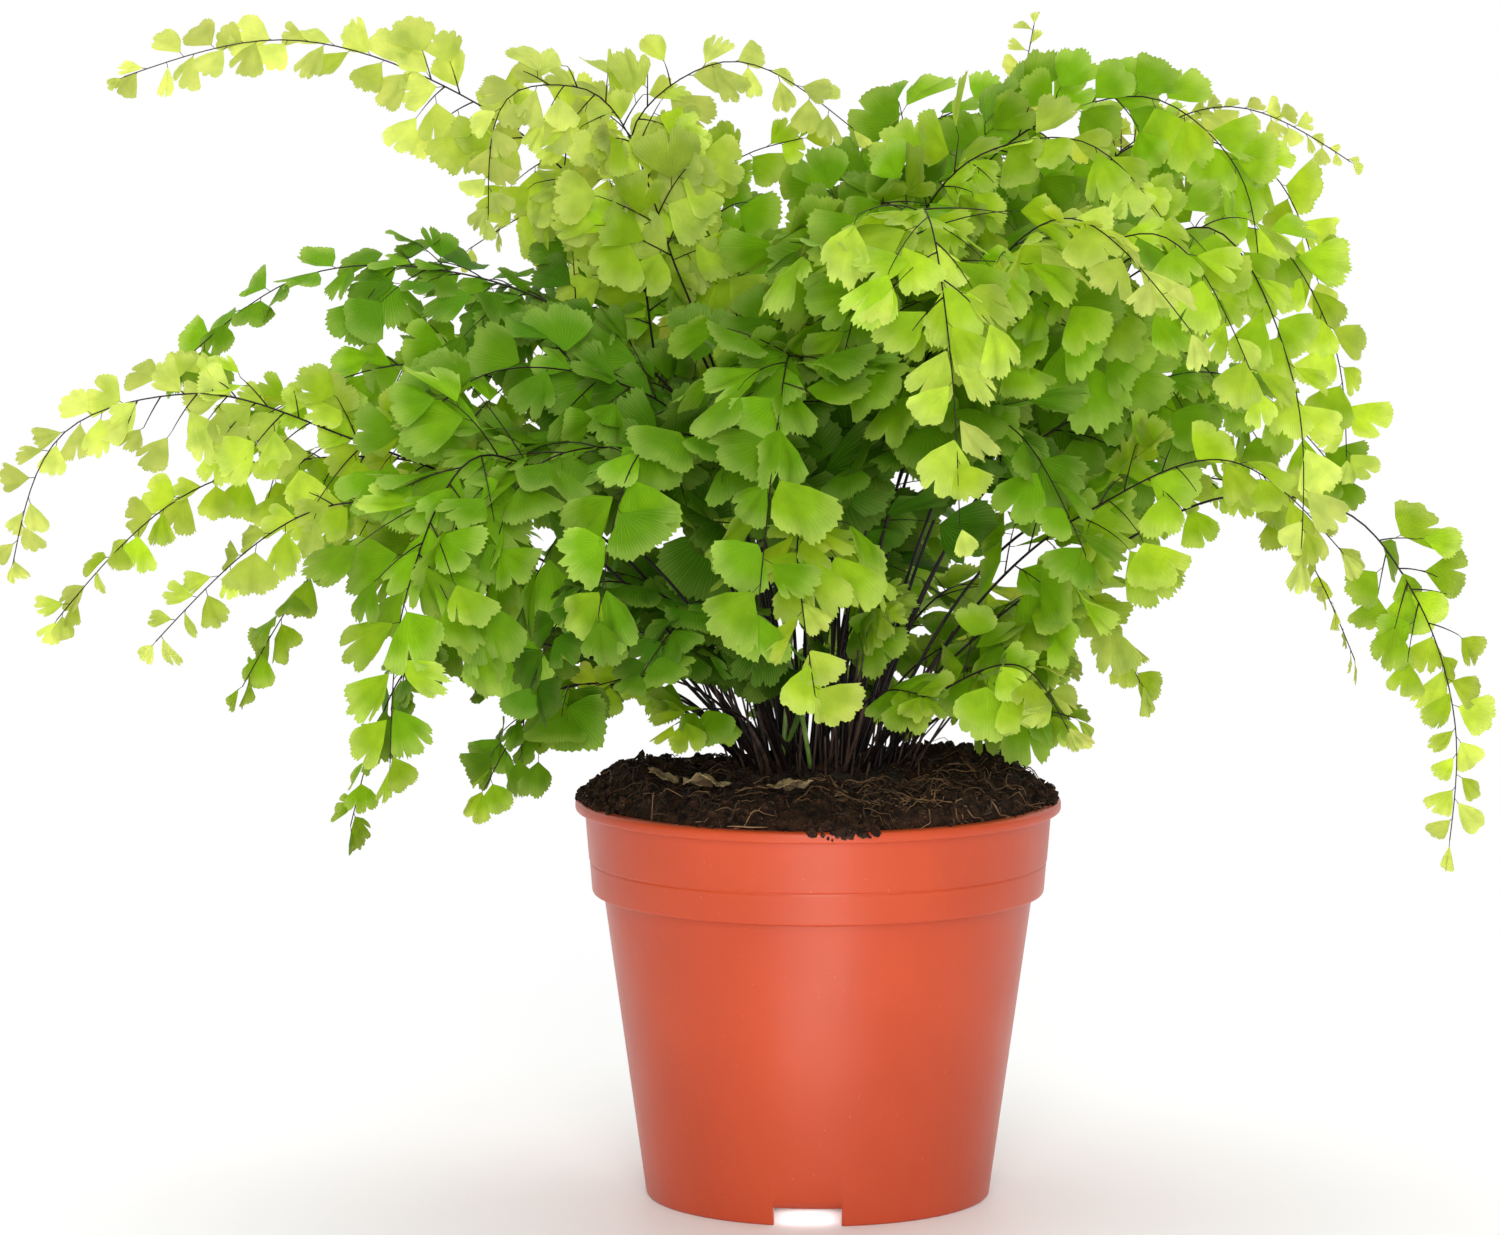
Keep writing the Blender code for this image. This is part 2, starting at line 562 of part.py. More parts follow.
def frond_mesh(name, stalk, plates):
    """One closed surface: the stalk's faces, with a plate drawn out of the side face where there is one."""
    corners = [tuple(c) for r in stalk.rings() for c in r]
    faces = [(0, 1, 2, 3)]

    def draw_out(start, sections):
        for section in sections:
            outer = list(range(len(corners), len(corners) + 4))
            corners.extend(tuple(c) for c in section)
            faces.extend((start[k], start[(k + 1) % 4], outer[(k + 1) % 4], outer[k]) for k in range(4))
            start = outer
        faces.append(tuple(start))

    for i in range(len(stalk.line) - 1):
        a, b = 4 * i, 4 * (i + 1)
        side, sections = plates.get(i, (0, None))
        for k, place in ((0, -1), (1, 0), (2, 1), (3, 0)):
            if side and place == side:
                low, high = (k, k + 1) if side < 0 else (k + 1, k)
                draw_out([a + low, a + high, b + high, b + low], sections)
            else:
                faces.append((a + k, a + (k + 1) % 4, b + (k + 1) % 4, b + k))
    end = 4 * (len(stalk.line) - 1)
    draw_out([end, end + 1, end + 2, end + 3], plates["tip"][1] if "tip" in plates else [])
    return mesh_from(name, corners, faces)


def leaf_color(young):
    return [old + (new - old) * young for old, new in zip(LEAF_OLD, LEAF_YOUNG)]


def obstacle(piece):
    """The piece as the viewport shows it, as a BVH tree in millimetres."""
    graph = bpy.context.evaluated_depsgraph_get()
    mesh = piece.evaluated_get(graph).to_mesh()
    corners = [tuple(v.co / MM) for v in mesh.vertices]
    return BVHTree.FromPolygons(corners, [tuple(p.vertices) for p in mesh.polygons])


def place_stalks(obstacles):
    """Every frond's stalk, turned and bowed a little where it would meet an obstacle or another stalk."""
    stalks, trees = {}, {}
    for name, frond in FRONDS.items():
        for turn, bow in STALK_SHIFTS:
            stalk = Stalk(frond, turn, bow)
            tree = tree_of(list(stalk.rings(0.4)))
            if not touches(tree, [*obstacles, *trees.values()]):
                break
        else:
            raise ValueError(f"no free way for {name}")
        stalks[name], trees[name] = stalk, tree
    return stalks, trees


def make_fronds(rhizome, obstacles):
    stalks, stalk_trees = place_stalks(obstacles)
    grown = {}
    for seed, (name, stalk) in enumerate(stalks.items()):
        neighbours = [tree for other, tree in stalk_trees.items() if other != name]
        others = [rhizome, *obstacles, *neighbours, *grown.values()]
        plates = leafy_plates(stalk, others, seed)
        node = "frond_" + name
        mesh = frond_mesh(node, stalk, plates)
        piece = put_in_scene(node, mesh, material(node, leaf_color(stalk.frond.young), 0.5))
        grown[name] = obstacle(piece)


# Croziers, dry stalks and withered leaves --------------------------------------------------------------


def tube_mesh(name, line, radii):
    """A closed four-sided tube along the line, in millimetres."""
    line = np.array(line, float)
    along = np.gradient(line, axis=0)
    side = unit(np.cross(along[0], (0.3, 1, 0.2)))
    sections = []
    for point, run, radius in zip(line, along, radii):
        run = unit(run)
        side = unit(side - (side @ run) * run)
        up = np.cross(run, side)
        around = ((-1, -1), (-1, 1), (1, 1), (1, -1))
        sections.append([point + radius * (a * side + b * up) for a, b in around])
    return mesh_from(name, *closed_tube(sections))


def crozier_line(foot, bend, coil_at, coil_radius):
    """A stalk that rises, bends over and ends in a flat coil, rolled inwards in the plane of the bend."""
    stem = smooth_line([foot, bend, coil_at], STEM_RINGS)
    run, back = unit(stem[-1] - stem[-2]), stem[0] - stem[-1]
    inward = unit(back - (back @ run) * run)
    centre = stem[-1] + coil_radius * inward
    coil = []
    for share in np.linspace(0, 1, COIL_RINGS)[1:]:
        angle, radius = 2 * math.pi * COIL_TURNS * share, coil_radius * (1 - 0.62 * share)
        coil.append(centre + radius * (-math.cos(angle) * inward + math.sin(angle) * run))
    return np.concatenate([stem, coil])


def make_croziers():
    """Young fronds, still rolled up."""
    finish = material("young_stalk", (0.20, 0.26, 0.06), 0.45)
    for name, (foot, bend, coil_at, coil_radius) in CROZIERS.items():
        line = crozier_line(above_crown(*foot, STALK_SEAT), bend, coil_at, coil_radius)
        thick = np.concatenate([np.full(STEM_RINGS, 0.6), np.linspace(0.6, 0.45, COIL_RINGS - 1)])
        put_in_scene(name, tube_mesh(name, line, thick), finish)


def make_dry_stalks():
    """Broken-off brown stalks among the living ones."""
    finish = material("dry_stalk", (0.16, 0.07, 0.03), 0.6)
    thick = np.linspace(0.7, 0.55, 5)
    for name, (foot, middle, top) in DRY_STALKS.items():
        line = smooth_line([above_crown(*foot, STALK_SEAT + 0.1), middle, top], len(thick))
        put_in_scene(name, tube_mesh(name, line, thick), finish)


def make_withered_leaves(soil):
    """Dry leaflets on the soil: fans that arch up in the middle, their corners close to the ground."""
    finish = material("withered_leaf", (0.30, 0.20, 0.09), 0.75)
    ground = obstacle(soil)
    for name, (x, y, turn, size) in WITHERED.items():
        tops = []
        for across in np.linspace(-1, 1, 5):
            for out in np.linspace(0, 1, 4):
                reach = size * (0.15 + 0.85 * out)
                at = math.radians(turn) + across * (0.25 + 0.55 * out)
                px, py = x + reach * math.cos(at), y + reach * math.sin(at)
                low = ground.ray_cast(Vector((px, py, 200)), Vector((0, 0, -1)))[0].z
                arch = 0.22 * size * (1 - across**2) + 0.10 * size * out**2
                tops.append((px, py, low + 3 * CLEARANCE + arch + LEAF_THICK))
        corners = tops + [(px, py, pz - LEAF_THICK) for px, py, pz in tops]
        put_in_scene(name, sheet_mesh(name, corners, 5, 4), finish)


def sheet_mesh(name, corners, rows, columns):
    """A closed sheet from a grid of upper corners followed by the same grid of lower ones."""
    low = rows * columns
    faces = []
    for i in range(rows - 1):
        for j in range(columns - 1):
            a = i * columns + j
            quad = (a, a + 1, a + columns + 1, a + columns)
            faces += [quad, tuple(low + c for c in reversed(quad))]
    rim = [j for j in range(columns)] + [(i + 1) * columns - 1 for i in range(1, rows)]
    rim += [low - 1 - j for j in range(1, columns)] + [i * columns for i in range(rows - 2, 0, -1)]
    for here, there in zip(rim, rim[1:] + rim[:1]):
        faces.append((here, there, low + there, low + here))
    return mesh_from(name, corners, faces)


def main():
    for old in list(bpy.data.objects):
        bpy.data.objects.remove(old)
    make_pot()
    soil, rhizome = make_soil(), make_rhizome()
    make_dry_stalks()
    make_withered_leaves(soil)
    make_croziers()
    pieces = [piece for piece in bpy.data.objects if not piece.hide_render and piece is not rhizome]
    make_fronds(obstacle(rhizome), [obstacle(piece) for piece in pieces])


main()
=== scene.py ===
"""Looks for a maidenhair fern in a plastic nursery pot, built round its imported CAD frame.

Sizes are in millimetres and every mesh is written in metres. The light, the camera and the relief of a finish
are in metres. +Z is up and -Y is the front.
"""

import math
from collections import namedtuple
from itertools import combinations

import bpy
import numpy as np
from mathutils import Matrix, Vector
from mathutils.bvhtree import BVHTree


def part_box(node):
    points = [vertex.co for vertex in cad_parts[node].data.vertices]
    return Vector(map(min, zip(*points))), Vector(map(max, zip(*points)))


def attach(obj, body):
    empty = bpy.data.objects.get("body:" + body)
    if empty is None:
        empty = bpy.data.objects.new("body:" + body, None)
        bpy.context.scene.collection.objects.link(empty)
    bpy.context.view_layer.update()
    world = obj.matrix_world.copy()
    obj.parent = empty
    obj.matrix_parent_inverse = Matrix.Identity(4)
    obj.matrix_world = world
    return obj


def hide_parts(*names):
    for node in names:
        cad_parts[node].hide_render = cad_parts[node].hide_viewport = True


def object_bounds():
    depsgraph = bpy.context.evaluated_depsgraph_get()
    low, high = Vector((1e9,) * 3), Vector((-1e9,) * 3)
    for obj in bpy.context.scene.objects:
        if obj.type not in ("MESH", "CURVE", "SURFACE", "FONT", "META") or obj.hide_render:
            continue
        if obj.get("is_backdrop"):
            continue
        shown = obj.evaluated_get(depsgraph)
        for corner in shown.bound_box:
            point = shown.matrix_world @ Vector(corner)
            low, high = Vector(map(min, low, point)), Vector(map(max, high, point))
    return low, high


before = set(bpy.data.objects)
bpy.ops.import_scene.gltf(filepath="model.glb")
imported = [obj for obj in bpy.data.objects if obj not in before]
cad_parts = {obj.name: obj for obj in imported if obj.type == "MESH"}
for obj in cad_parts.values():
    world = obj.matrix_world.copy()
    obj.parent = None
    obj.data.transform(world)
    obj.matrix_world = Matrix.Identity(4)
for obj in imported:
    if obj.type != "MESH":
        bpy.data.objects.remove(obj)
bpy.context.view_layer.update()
MM = 0.001


# The table top, the light and the camera --------------------------------------
# A matt white table top that runs on out of sight, in a white room. Soft boxes stand at the front, at both
# sides and above, a strip lies on the table in front, and a tiny lamp under the pot lights the notch in its
# foot. The camera looks slightly down on the pot's rim from 1.5 m away.


def mesh_piece(name, corners, faces, finish, smooth=True):
    """An object whose mesh holds these corners, in millimetres, and these faces, lists of corner numbers."""
    mesh = bpy.data.meshes.new(name)
    mesh.from_pydata((np.asarray(corners) * MM).tolist(), [], faces)
    mesh.polygons.foreach_set("use_smooth", np.full(len(mesh.polygons), smooth))
    mesh.materials.append(finish)
    piece = bpy.data.objects.new(name, mesh)
    bpy.context.scene.collection.objects.link(piece)
    return piece


def add(tree, kind, sockets=None, **settings):
    """A shader node of this kind. Each socket takes a plain value or the output of another node."""
    node = tree.nodes.new("ShaderNode" + kind)
    for setting, value in settings.items():
        setattr(node, setting, value)
    for socket, value in (sockets or {}).items():
        if isinstance(value, bpy.types.NodeSocket):
            tree.links.new(value, node.inputs[socket])
        else:
            node.inputs[socket].default_value = value
    return node


def new_finish(name):
    """A node material with only its output, the tree that its nodes go into, and the place on its piece."""
    finish = bpy.data.materials.new(name)
    finish.use_nodes = True
    tree = finish.node_tree
    tree.nodes.clear()
    tree.nodes.new("ShaderNodeOutputMaterial")
    return finish, tree, add(tree, "TexCoord").outputs["Object"]


def surface(tree, color, roughness, specular=0.5, normal=None):
    """A Principled shader with this colour, roughness and specular level, and this normal if one is given."""
    bent = {} if normal is None else {"Normal": normal}
    sockets = {"Base Color": color, "Roughness": roughness, "Specular IOR Level": specular, **bent}
    return add(tree, "BsdfPrincipled", sockets)


def mixed(tree, mask, a, b):
    """The shader that goes from a to b as the mask goes from 0 to 1."""
    return add(tree, "MixShader", {0: mask, 1: a.outputs[0], 2: b.outputs[0]})


def show(tree, shader):
    """Sends the shader to the material's output."""
    tree.links.new(shader.outputs[0], tree.nodes["Material Output"].inputs["Surface"])


def maths(tree, operation, *values):
    """The result of this operation on the values."""
    return add(tree, "Math", dict(enumerate(values)), operation=operation).outputs[0]


def times(tree, a, b):
    """The product of two values."""
    return maths(tree, "MULTIPLY", a, b)


def ramp(tree, value, low=0.0, high=1.0, to_low=0.0, to_high=1.0, smooth=False):
    """A value that goes from to_low to to_high, and not past them, as the given one goes from low to high."""
    sockets = {"Value": value, "From Min": low, "From Max": high, "To Min": to_low, "To Max": to_high}
    kind = "SMOOTHSTEP" if smooth else "LINEAR"
    return add(tree, "MapRange", sockets, interpolation_type=kind).outputs["Result"]


white = (1, 1, 1, 1)
table_white, tree, place = new_finish("table_white")
near = surface(tree, (0.93, 0.93, 0.93, 1), 0.6)
# Far from the pot the table top fades into the white of the room, as the eye sees it.
far = add(tree, "Emission", {"Color": white})
distance = add(tree, "VectorMath", {0: place}, operation="LENGTH").outputs["Value"]
fade = ramp(tree, distance, 0.15, 0.6, smooth=True)
show(tree, mixed(tree, times(tree, fade, add(tree, "LightPath").outputs["Is Camera Ray"]), near, far))
table_half = 6000
square = [(x * table_half, y * table_half, 0) for x, y in ((-1, -1), (1, -1), (1, 1), (-1, 1))]
table = mesh_piece("table_top", square, [(0, 1, 2, 3)], table_white)
table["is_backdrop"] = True

scene = bpy.context.scene
scene.view_settings.view_transform = "Standard"
room = bpy.data.worlds.new("white_room")
room.use_nodes = True
sky = room.node_tree
sky.nodes.clear()
# The room is evenly white where it is seen. As light it is bright overhead and behind, and dim at the sides.
way = add(sky, "SeparateXYZ", {0: add(sky, "TexCoord").outputs["Generated"]})
above = ramp(sky, way.outputs["Z"], 0.05, 1.0, 0.10, 0.8)
behind = ramp(sky, way.outputs["Y"], 0.5, 0.95)
lit = add(sky, "Background", {"Color": white, "Strength": maths(sky, "ADD", above, behind)})
seen = add(sky, "Background", {"Color": white, "Strength": 1.0})
either = mixed(sky, add(sky, "LightPath").outputs["Is Camera Ray"], lit, seen)
sky.links.new(either.outputs[0], sky.nodes.new("ShaderNodeOutputWorld").inputs["Surface"])
scene.world = room


def soft_box(name, place, aim, width, height, power):
    """An evenly lit panel that faces its aim."""
    light = bpy.data.lights.new(name, "AREA")
    light.shape, light.size, light.size_y, light.energy = "RECTANGLE", width, height, power
    panel = bpy.data.objects.new(name, light)
    panel.location = place
    panel.rotation_euler = (Vector(aim) - Vector(place)).to_track_quat("-Z", "Y").to_euler()
    panel.visible_camera = False
    scene.collection.objects.link(panel)


soft_box("box_front", (0.02, -2.4, 0.9), (0, 0, 0.15), 0.9, 1.8, 42)
soft_box("box_left", (-1.3, 0.9, 0.9), (0, 0, 0.15), 0.8, 1.6, 4)
soft_box("box_right", (1.3, 0.9, 0.9), (0, 0, 0.15), 0.8, 1.6, 4)
soft_box("box_above", (0.0, 0.2, 1.9), (0, 0, 0.2), 1.6, 1.6, 12)
soft_box("strip_low", (0.0, -0.33, 0.003), (0, -0.33, 1), 0.10, 0.42, 0.33)
soft_box("under_pot", (-0.003, -0.032, 0.0042), (-0.003, -0.032, -1), 0.014, 0.016, 0.0014)

degrees_down = 6.5
camera = bpy.data.objects.new("camera", bpy.data.cameras.new("camera"))
camera.location = (-0.017, -1.5, 0.316)
camera.rotation_euler = (math.radians(90 - degrees_down), 0, 0)
camera.data.lens = 145.6
camera.data.sensor_width = 36
scene.collection.objects.link(camera)
scene.camera = camera


# The pot ----------------------------------------------------------------------
# A thin-walled nursery pot, injection moulded in one piece from terracotta-coloured plastic. It has a rolled
# lip, a tall collar for stacking, a tapering body and a foot ring with three notches; six holes drain it.

rim_radius, _, pot_height = np.array(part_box("pot")[1]) / MM
wall, foot_radius, shoulder_radius, collar_foot = 1.2, 43.0, 53.6, 76.5
collar_radius, under_lip, lip_foot, seam_height = 56.4, 58.2, 97.2, 84.4
floor_under, dish_radius = 5.0, 9.0
notch_half, notch_height = math.asin(8.5 / foot_radius), 4.5
notch_turns = np.radians([-94.0, 26.0, 146.0])
hole_count, hole_radius, hole_circle = 6, 4.0, 29.0


def rounded(outline, radii, steps=5):
    """The outline, rows of (radius, height), with each corner replaced by a curve that starts and ends its
    radius away: (1-t)^2 a + 2t(1-t) corner + t^2 b, with t from 0 to 1."""
    outline = np.array(outline, float)
    t = np.linspace(0, 1, steps)[:, None]
    points = [outline[:1]]
    for before, corner, after, radius in zip(outline[:-2], outline[1:-1], outline[2:], radii[1:-1]):
        if radius == 0:
            points.append(corner[None])
            continue
        a = corner + (before - corner) * min(radius / np.linalg.norm(before - corner), 0.49)
        b = corner + (after - corner) * min(radius / np.linalg.norm(after - corner), 0.49)
        points.append((1 - t) ** 2 * a + 2 * t * (1 - t) * corner + t**2 * b)
    return np.concatenate([*points, outline[-1:]])


def split_long(outline, longest):
    """The outline with every stretch over this length cut into equal ones."""
    points = []
    for a, b in zip(outline[:-1], outline[1:]):
        parts = max(1, math.ceil(np.linalg.norm(b - a) / longest))
        points.append(a + (b - a) * np.linspace(0, 1, parts, endpoint=False)[:, None])
    return np.concatenate([*points, outline[-1:]])


def polar(r, a, z):
    """The points (r cos a, r sin a, z)."""
    return np.stack(np.broadcast_arrays(r * np.cos(a), r * np.sin(a), z), axis=-1)


def round_turns(count):
    """Angles evenly all round the axis."""
    return np.linspace(-math.pi, math.pi, count, endpoint=False)


def wrapped(angle):
    """The same angle from -pi to pi."""
    return (angle + math.pi) % (2 * math.pi) - math.pi


def turned(outline, turns):
    """The outline carried round the Z axis: a grid of points with one row for each turn."""
    return polar(outline[:, 0], turns[:, None], outline[:, 1])


def closed(grid):
    """The corners and faces of a turned shape: quads between neighbours in the grid, closed round the axis,
    with triangles at the two poles. The grid's first and last points are the poles, one corner each, and are
    numbered after all the others."""
    turns, inner = grid.shape[0], grid.shape[1] - 2
    corners = np.concatenate([grid[:, 1:-1].reshape(-1, 3), grid[:1, 0], grid[:1, -1]])
    here, k = inner * np.arange(turns)[:, None], np.arange(inner - 1)
    beside = np.roll(here, -1, axis=0)
    quads = np.stack([here + k, here + k + 1, beside + k + 1, beside + k], -1).reshape(-1, 4)
    pole = 0 * here + turns * inner
    first = np.hstack([pole, here, beside])
    last = np.hstack([pole + 1, beside + inner - 1, here + inner - 1])
    return corners, quads.tolist() + first.tolist() + last.tolist()


def wall_at(z):
    """The pot's outer radius at this height, below its collar."""
    return foot_radius + (shoulder_radius - foot_radius) * z / collar_foot


seam = [(collar_radius + 0.82, seam_height + 0.5, 0.1), (collar_radius + 0.42, seam_height, 0.1),
        (collar_radius + 0.60, seam_height - 0.5, 0.1)]  # fmt: skip
outline = [
    (0, wall, 0), (dish_radius - 0.6, wall, 1), (dish_radius + 2.4, floor_under + wall, 1),
    (wall_at(6) - wall, floor_under + wall, 2), (shoulder_radius - wall, collar_foot + 0.8, 1),
    (collar_radius - wall, collar_foot + 1.8, 1), (under_lip - wall, pot_height - 0.6, 0.4),
    (under_lip - wall + 0.6, pot_height, 0.4), (rim_radius, pot_height, 1.1), (rim_radius, lip_foot, 0.9),
    (under_lip, lip_foot - 0.1, 0.3), *seam, (collar_radius, collar_foot, 0.8),
    (shoulder_radius, collar_foot, 0.5), (foot_radius, 0, 0.9), (foot_radius - wall, 0, 0.3),
    (wall_at(5) - wall, floor_under, 1), (dish_radius + 3, floor_under, 1), (dish_radius, 0, 1), (0, 0, 0),
]  # fmt: skip
outline = np.array(outline)
outline = split_long(rounded(outline[:, :2], outline[:, 2]), 6.0)
# The sides of the notches are upright, so each has two turns close together.
edge = np.radians([-0.04, 0.04])
notch_sides = (at + side * notch_half + edge for at in notch_turns for side in (-1, 1))
turns = np.sort(wrapped(np.concatenate([round_turns(160), *notch_sides])))
grid = turned(outline, turns)
away = np.abs(wrapped(turns[:, None] - notch_turns)).min(1)
in_notch = (away < notch_half)[:, None] & (outline[:, 0] > foot_radius - wall - 2)[None]
grid[..., 2] = np.where(in_notch, np.maximum(grid[..., 2], notch_height), grid[..., 2])


def shader_group(name, inputs, outputs):
    """An empty node group with these inputs, {name: type}, and these outputs, which are floats."""
    group = bpy.data.node_groups.new(name, "ShaderNodeTree")
    for socket, kind in inputs.items():
        group.interface.new_socket(socket, in_out="INPUT", socket_type="NodeSocket" + kind)
    for socket in outputs:
        group.interface.new_socket(socket, in_out="OUTPUT", socket_type="NodeSocketFloat")
    return group, group.nodes.new("NodeGroupInput"), group.nodes.new("NodeGroupOutput")


def noise(tree, vector, scale, detail):
    """The value of a cloudy noise."""
    return add(tree, "TexNoise", {"Vector": vector, "Scale": scale, "Detail": detail}).outputs["Fac"]


# Uneven colour or wear: a noise of this scale, stretched so that From gives 0 and To gives 1.
given_kinds = {"Vector": "Vector", "Scale": "Float", "From": "Float", "To": "Float"}
mottle, given, made = shader_group("mottle", given_kinds, ["Mask"])
cloud = noise(mottle, given.outputs["Vector"], given.outputs["Scale"], 4.0)
mottle.links.new(ramp(mottle, cloud, given.outputs["From"], given.outputs["To"]), made.inputs["Mask"])


def spots(tree, vector, scale, low, high):
    """The mask of a mottle group with these values."""
    values = {"Vector": vector, "Scale": scale, "From": low, "To": high}
    return add(tree, "Group", values, node_tree=mottle).outputs["Mask"]


def blend(tree, mask, a, b):
    """The colour that goes from a to b as the mask goes from 0 to 1; each is (red, green, blue) or an output.
    A Mix node's colours are its inputs 6 and 7 and its output 2."""
    a, b = ((*color, 1) if isinstance(color, tuple) else color for color in (a, b))
    return add(tree, "Mix", {0: mask, 6: a, 7: b}, data_type="RGBA").outputs[2]


def mottled(tree, vector, scale, low, high, a, b, share=1.0):
    """The colour a with uneven patches of b, which cover it by this share."""
    return blend(tree, times(tree, spots(tree, vector, scale, low, high), share), a, b)


def scaled(tree, vector, scale):
    """The vector with each of its parts multiplied."""
    return add(tree, "VectorMath", {0: vector, 1: scale}, operation="MULTIPLY").outputs[0]


def bumped(tree, height, strength, depth):
    """The normal of a surface with this relief, in metres."""
    return add(tree, "Bump", {"Height": height, "Strength": strength, "Distance": depth}).outputs[0]


pot_plastic, tree, place = new_finish("pot_plastic")
color = mottled(tree, place, 26.0, 0.35, 0.7, (0.53, 0.064, 0.017), (0.47, 0.054, 0.014))
color = mottled(tree, place, 1300.0, 0.71, 0.76, color, (0.80, 0.30, 0.20), 0.5)
rough = ramp(tree, spots(tree, place, 60.0, 0.3, 0.7), to_low=0.34, to_high=0.42)
mould_lines = noise(tree, scaled(tree, place, (3, 3, 1400)), 1.0, 2.0)
relief = maths(tree, "MULTIPLY_ADD", mould_lines, 0.6, noise(tree, place, 900.0, 3.0))
show(tree, surface(tree, color, rough, 0.4, bumped(tree, relief, 0.10, 0.0001)))

pot = mesh_piece("pot_shell", *closed(grid), pot_plastic)
cutters = []
for i in range(hole_count):
    bpy.ops.mesh.primitive_cylinder_add(vertices=32, radius=hole_radius * MM, depth=8 * MM)
    cutters.append(bpy.context.object)
    at = notch_turns[0] + math.radians(30 + 60 * i)
    cutters[-1].location = polar(hole_circle, at, floor_under) * MM
    cut = pot.modifiers.new(f"drain_{i}", "BOOLEAN")
    cut.operation, cut.solver, cut.object = "DIFFERENCE", "EXACT", cutters[-1]
graph = bpy.context.evaluated_depsgraph_get()
cut_mesh = bpy.data.meshes.new_from_object(pot.evaluated_get(graph))
pot.modifiers.clear()
pot.data = cut_mesh
for cutter in cutters:
    bpy.data.objects.remove(cutter)
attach(pot, "root")
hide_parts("pot")


# The soil ---------------------------------------------------------------------
# Dark peat compost that fills the pot and is heaped a little over its rim: a loose crumbly mass with tan root
# fibres and bits of bark in it. Some crumbs have fallen on the lip.

soil_rng = np.random.default_rng(5)
soil_edge = 55.7
crown_radius, crown_foot, crown_shoulder, crown_top = 27.0, 97.0, 104.0, 110.0


def lumps(x, y, size, seed):
    """Smooth random bumps from -1 to 1: random heights on a square grid of this size, joined by the smooth
    step 3t^2 - 2t^3 along x and along y."""
    heights = np.random.default_rng(seed).uniform(-1, 1, (64, 64))
    u, v = np.asarray(x) / size + 32, np.asarray(y) / size + 32
    i, j = np.floor(u).astype(int), np.floor(v).astype(int)
    s, t = (3 * f**2 - 2 * f**3 for f in (u - i, v - j))
    at = lambda a, b: heights[a % 64, b % 64]
    low = at(i, j) * (1 - s) + at(i + 1, j) * s
    high = at(i, j + 1) * (1 - s) + at(i + 1, j + 1) * s
    return low * (1 - t) + high * t


def soil_top(x, y):
    """The soil's height: a mound that falls to the rim as the 2.5th power of the radius, a heap at the right
    and a smaller one at the left, and lumps of four sizes that fade out at the edge."""
    radius = np.hypot(x, y)
    fall = np.clip((radius - crown_radius) / (rim_radius - crown_radius), 0, 1)
    level = 105.0 - 3.6 * fall**2.5
    heap_right = 6.0 * np.exp(-((x - 34) ** 2 + (y - 14) ** 2) / 340)
    heap_left = 3.2 * np.exp(-((x + 47) ** 2 + (y - 2) ** 2) / 220)
    bumps = sum(height * lumps(x, y, size, seed) for seed, (size, height) in enumerate(
        ((11.0, 1.3), (5.0, 1.0), (2.3, 0.75), (1.2, 0.45)), start=20))  # fmt: skip
    edge = np.clip((soil_edge - radius) / 2.5, 0, 1)
    return level + heap_right + heap_left + bumps * (0.35 + 0.65 * edge) - 2.6 * (1 - edge) ** 2


def mound(top_radii, height, under, turns):
    """A turned shape with this height at each (x, y) of its top, which has these radii. Under is the rest."""
    rows = len(top_radii)
    grid = turned(np.concatenate([np.stack([top_radii, 0 * top_radii], 1), under]), round_turns(turns))
    grid[:, :rows, 2] = height(grid[:, :rows, 0], grid[:, :rows, 1])
    grid[:, 0] = grid[0, 0]
    return closed(grid)


peat, tree, place = new_finish("peat")
color = mottled(tree, place, 420.0, 0.38, 0.66, (0.010, 0.0048, 0.003), (0.056, 0.025, 0.013))
color = mottled(tree, scaled(tree, place, (1, 2.6, 1.6)), 800.0, 0.60, 0.72, color, (0.16, 0.085, 0.045))
show(tree, surface(tree, color, 0.95, 0.2, bumped(tree, noise(tree, place, 1100.0, 6.0), 1.0, 0.0012)))

under = np.array([
    (soil_edge, 97.5), (collar_radius - wall - 0.6, 79.3), (shoulder_radius - wall - 0.6, 77.7),
    (wall_at(7) - wall - 0.5, 6.6), (dish_radius + 1.7, 6.6), (dish_radius - 1.0, 1.6), (0, 1.6),
])  # fmt: skip
top_radii = np.concatenate([np.linspace(0, 20, 9), np.linspace(21, soil_edge, 42)])
soil = mesh_piece("soil_mass", *mound(top_radii, soil_top, under, 240), peat)
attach(soil, "root")
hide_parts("soil")


def pebbles(centres, sizes, rng):
    """Small lumps of 20 triangles: icosahedra, each stretched along its three axes, turned and with its
    corners moved in or out at random."""
    g = (1 + math.sqrt(5)) / 2
    ring = [(0, 1, g), (0, -1, g), (0, 1, -g), (0, -1, -g)]
    ball = np.concatenate([np.roll(ring, -axis, axis=1) for axis in range(3)]) / math.hypot(1, g)
    reach = np.linalg.norm(ball[:, None] - ball[None], axis=2)
    near = (reach > 0.1) & (reach < 1.1)
    faces = [(a, b, c) for a, b, c in combinations(range(12), 3) if near[a, b] and near[b, c] and near[a, c]]
    faces = [f if np.linalg.det(ball[list(f)]) > 0 else f[::-1] for f in faces]
    count = len(centres)
    shape = ball * rng.uniform(0.7, 1.15, (count, 12, 1)) * rng.uniform(0.55, 1.2, (count, 1, 3))
    turn, _ = np.linalg.qr(rng.normal(size=(count, 3, 3)))
    turn *= np.sign(np.linalg.det(turn))[:, None, None]
    corners = centres[:, None] + sizes[:, None, None] * shape @ turn
    faces = np.array(faces)[None] + 12 * np.arange(count)[:, None, None]
    return corners.reshape(-1, 3), faces.reshape(-1, 3).tolist()


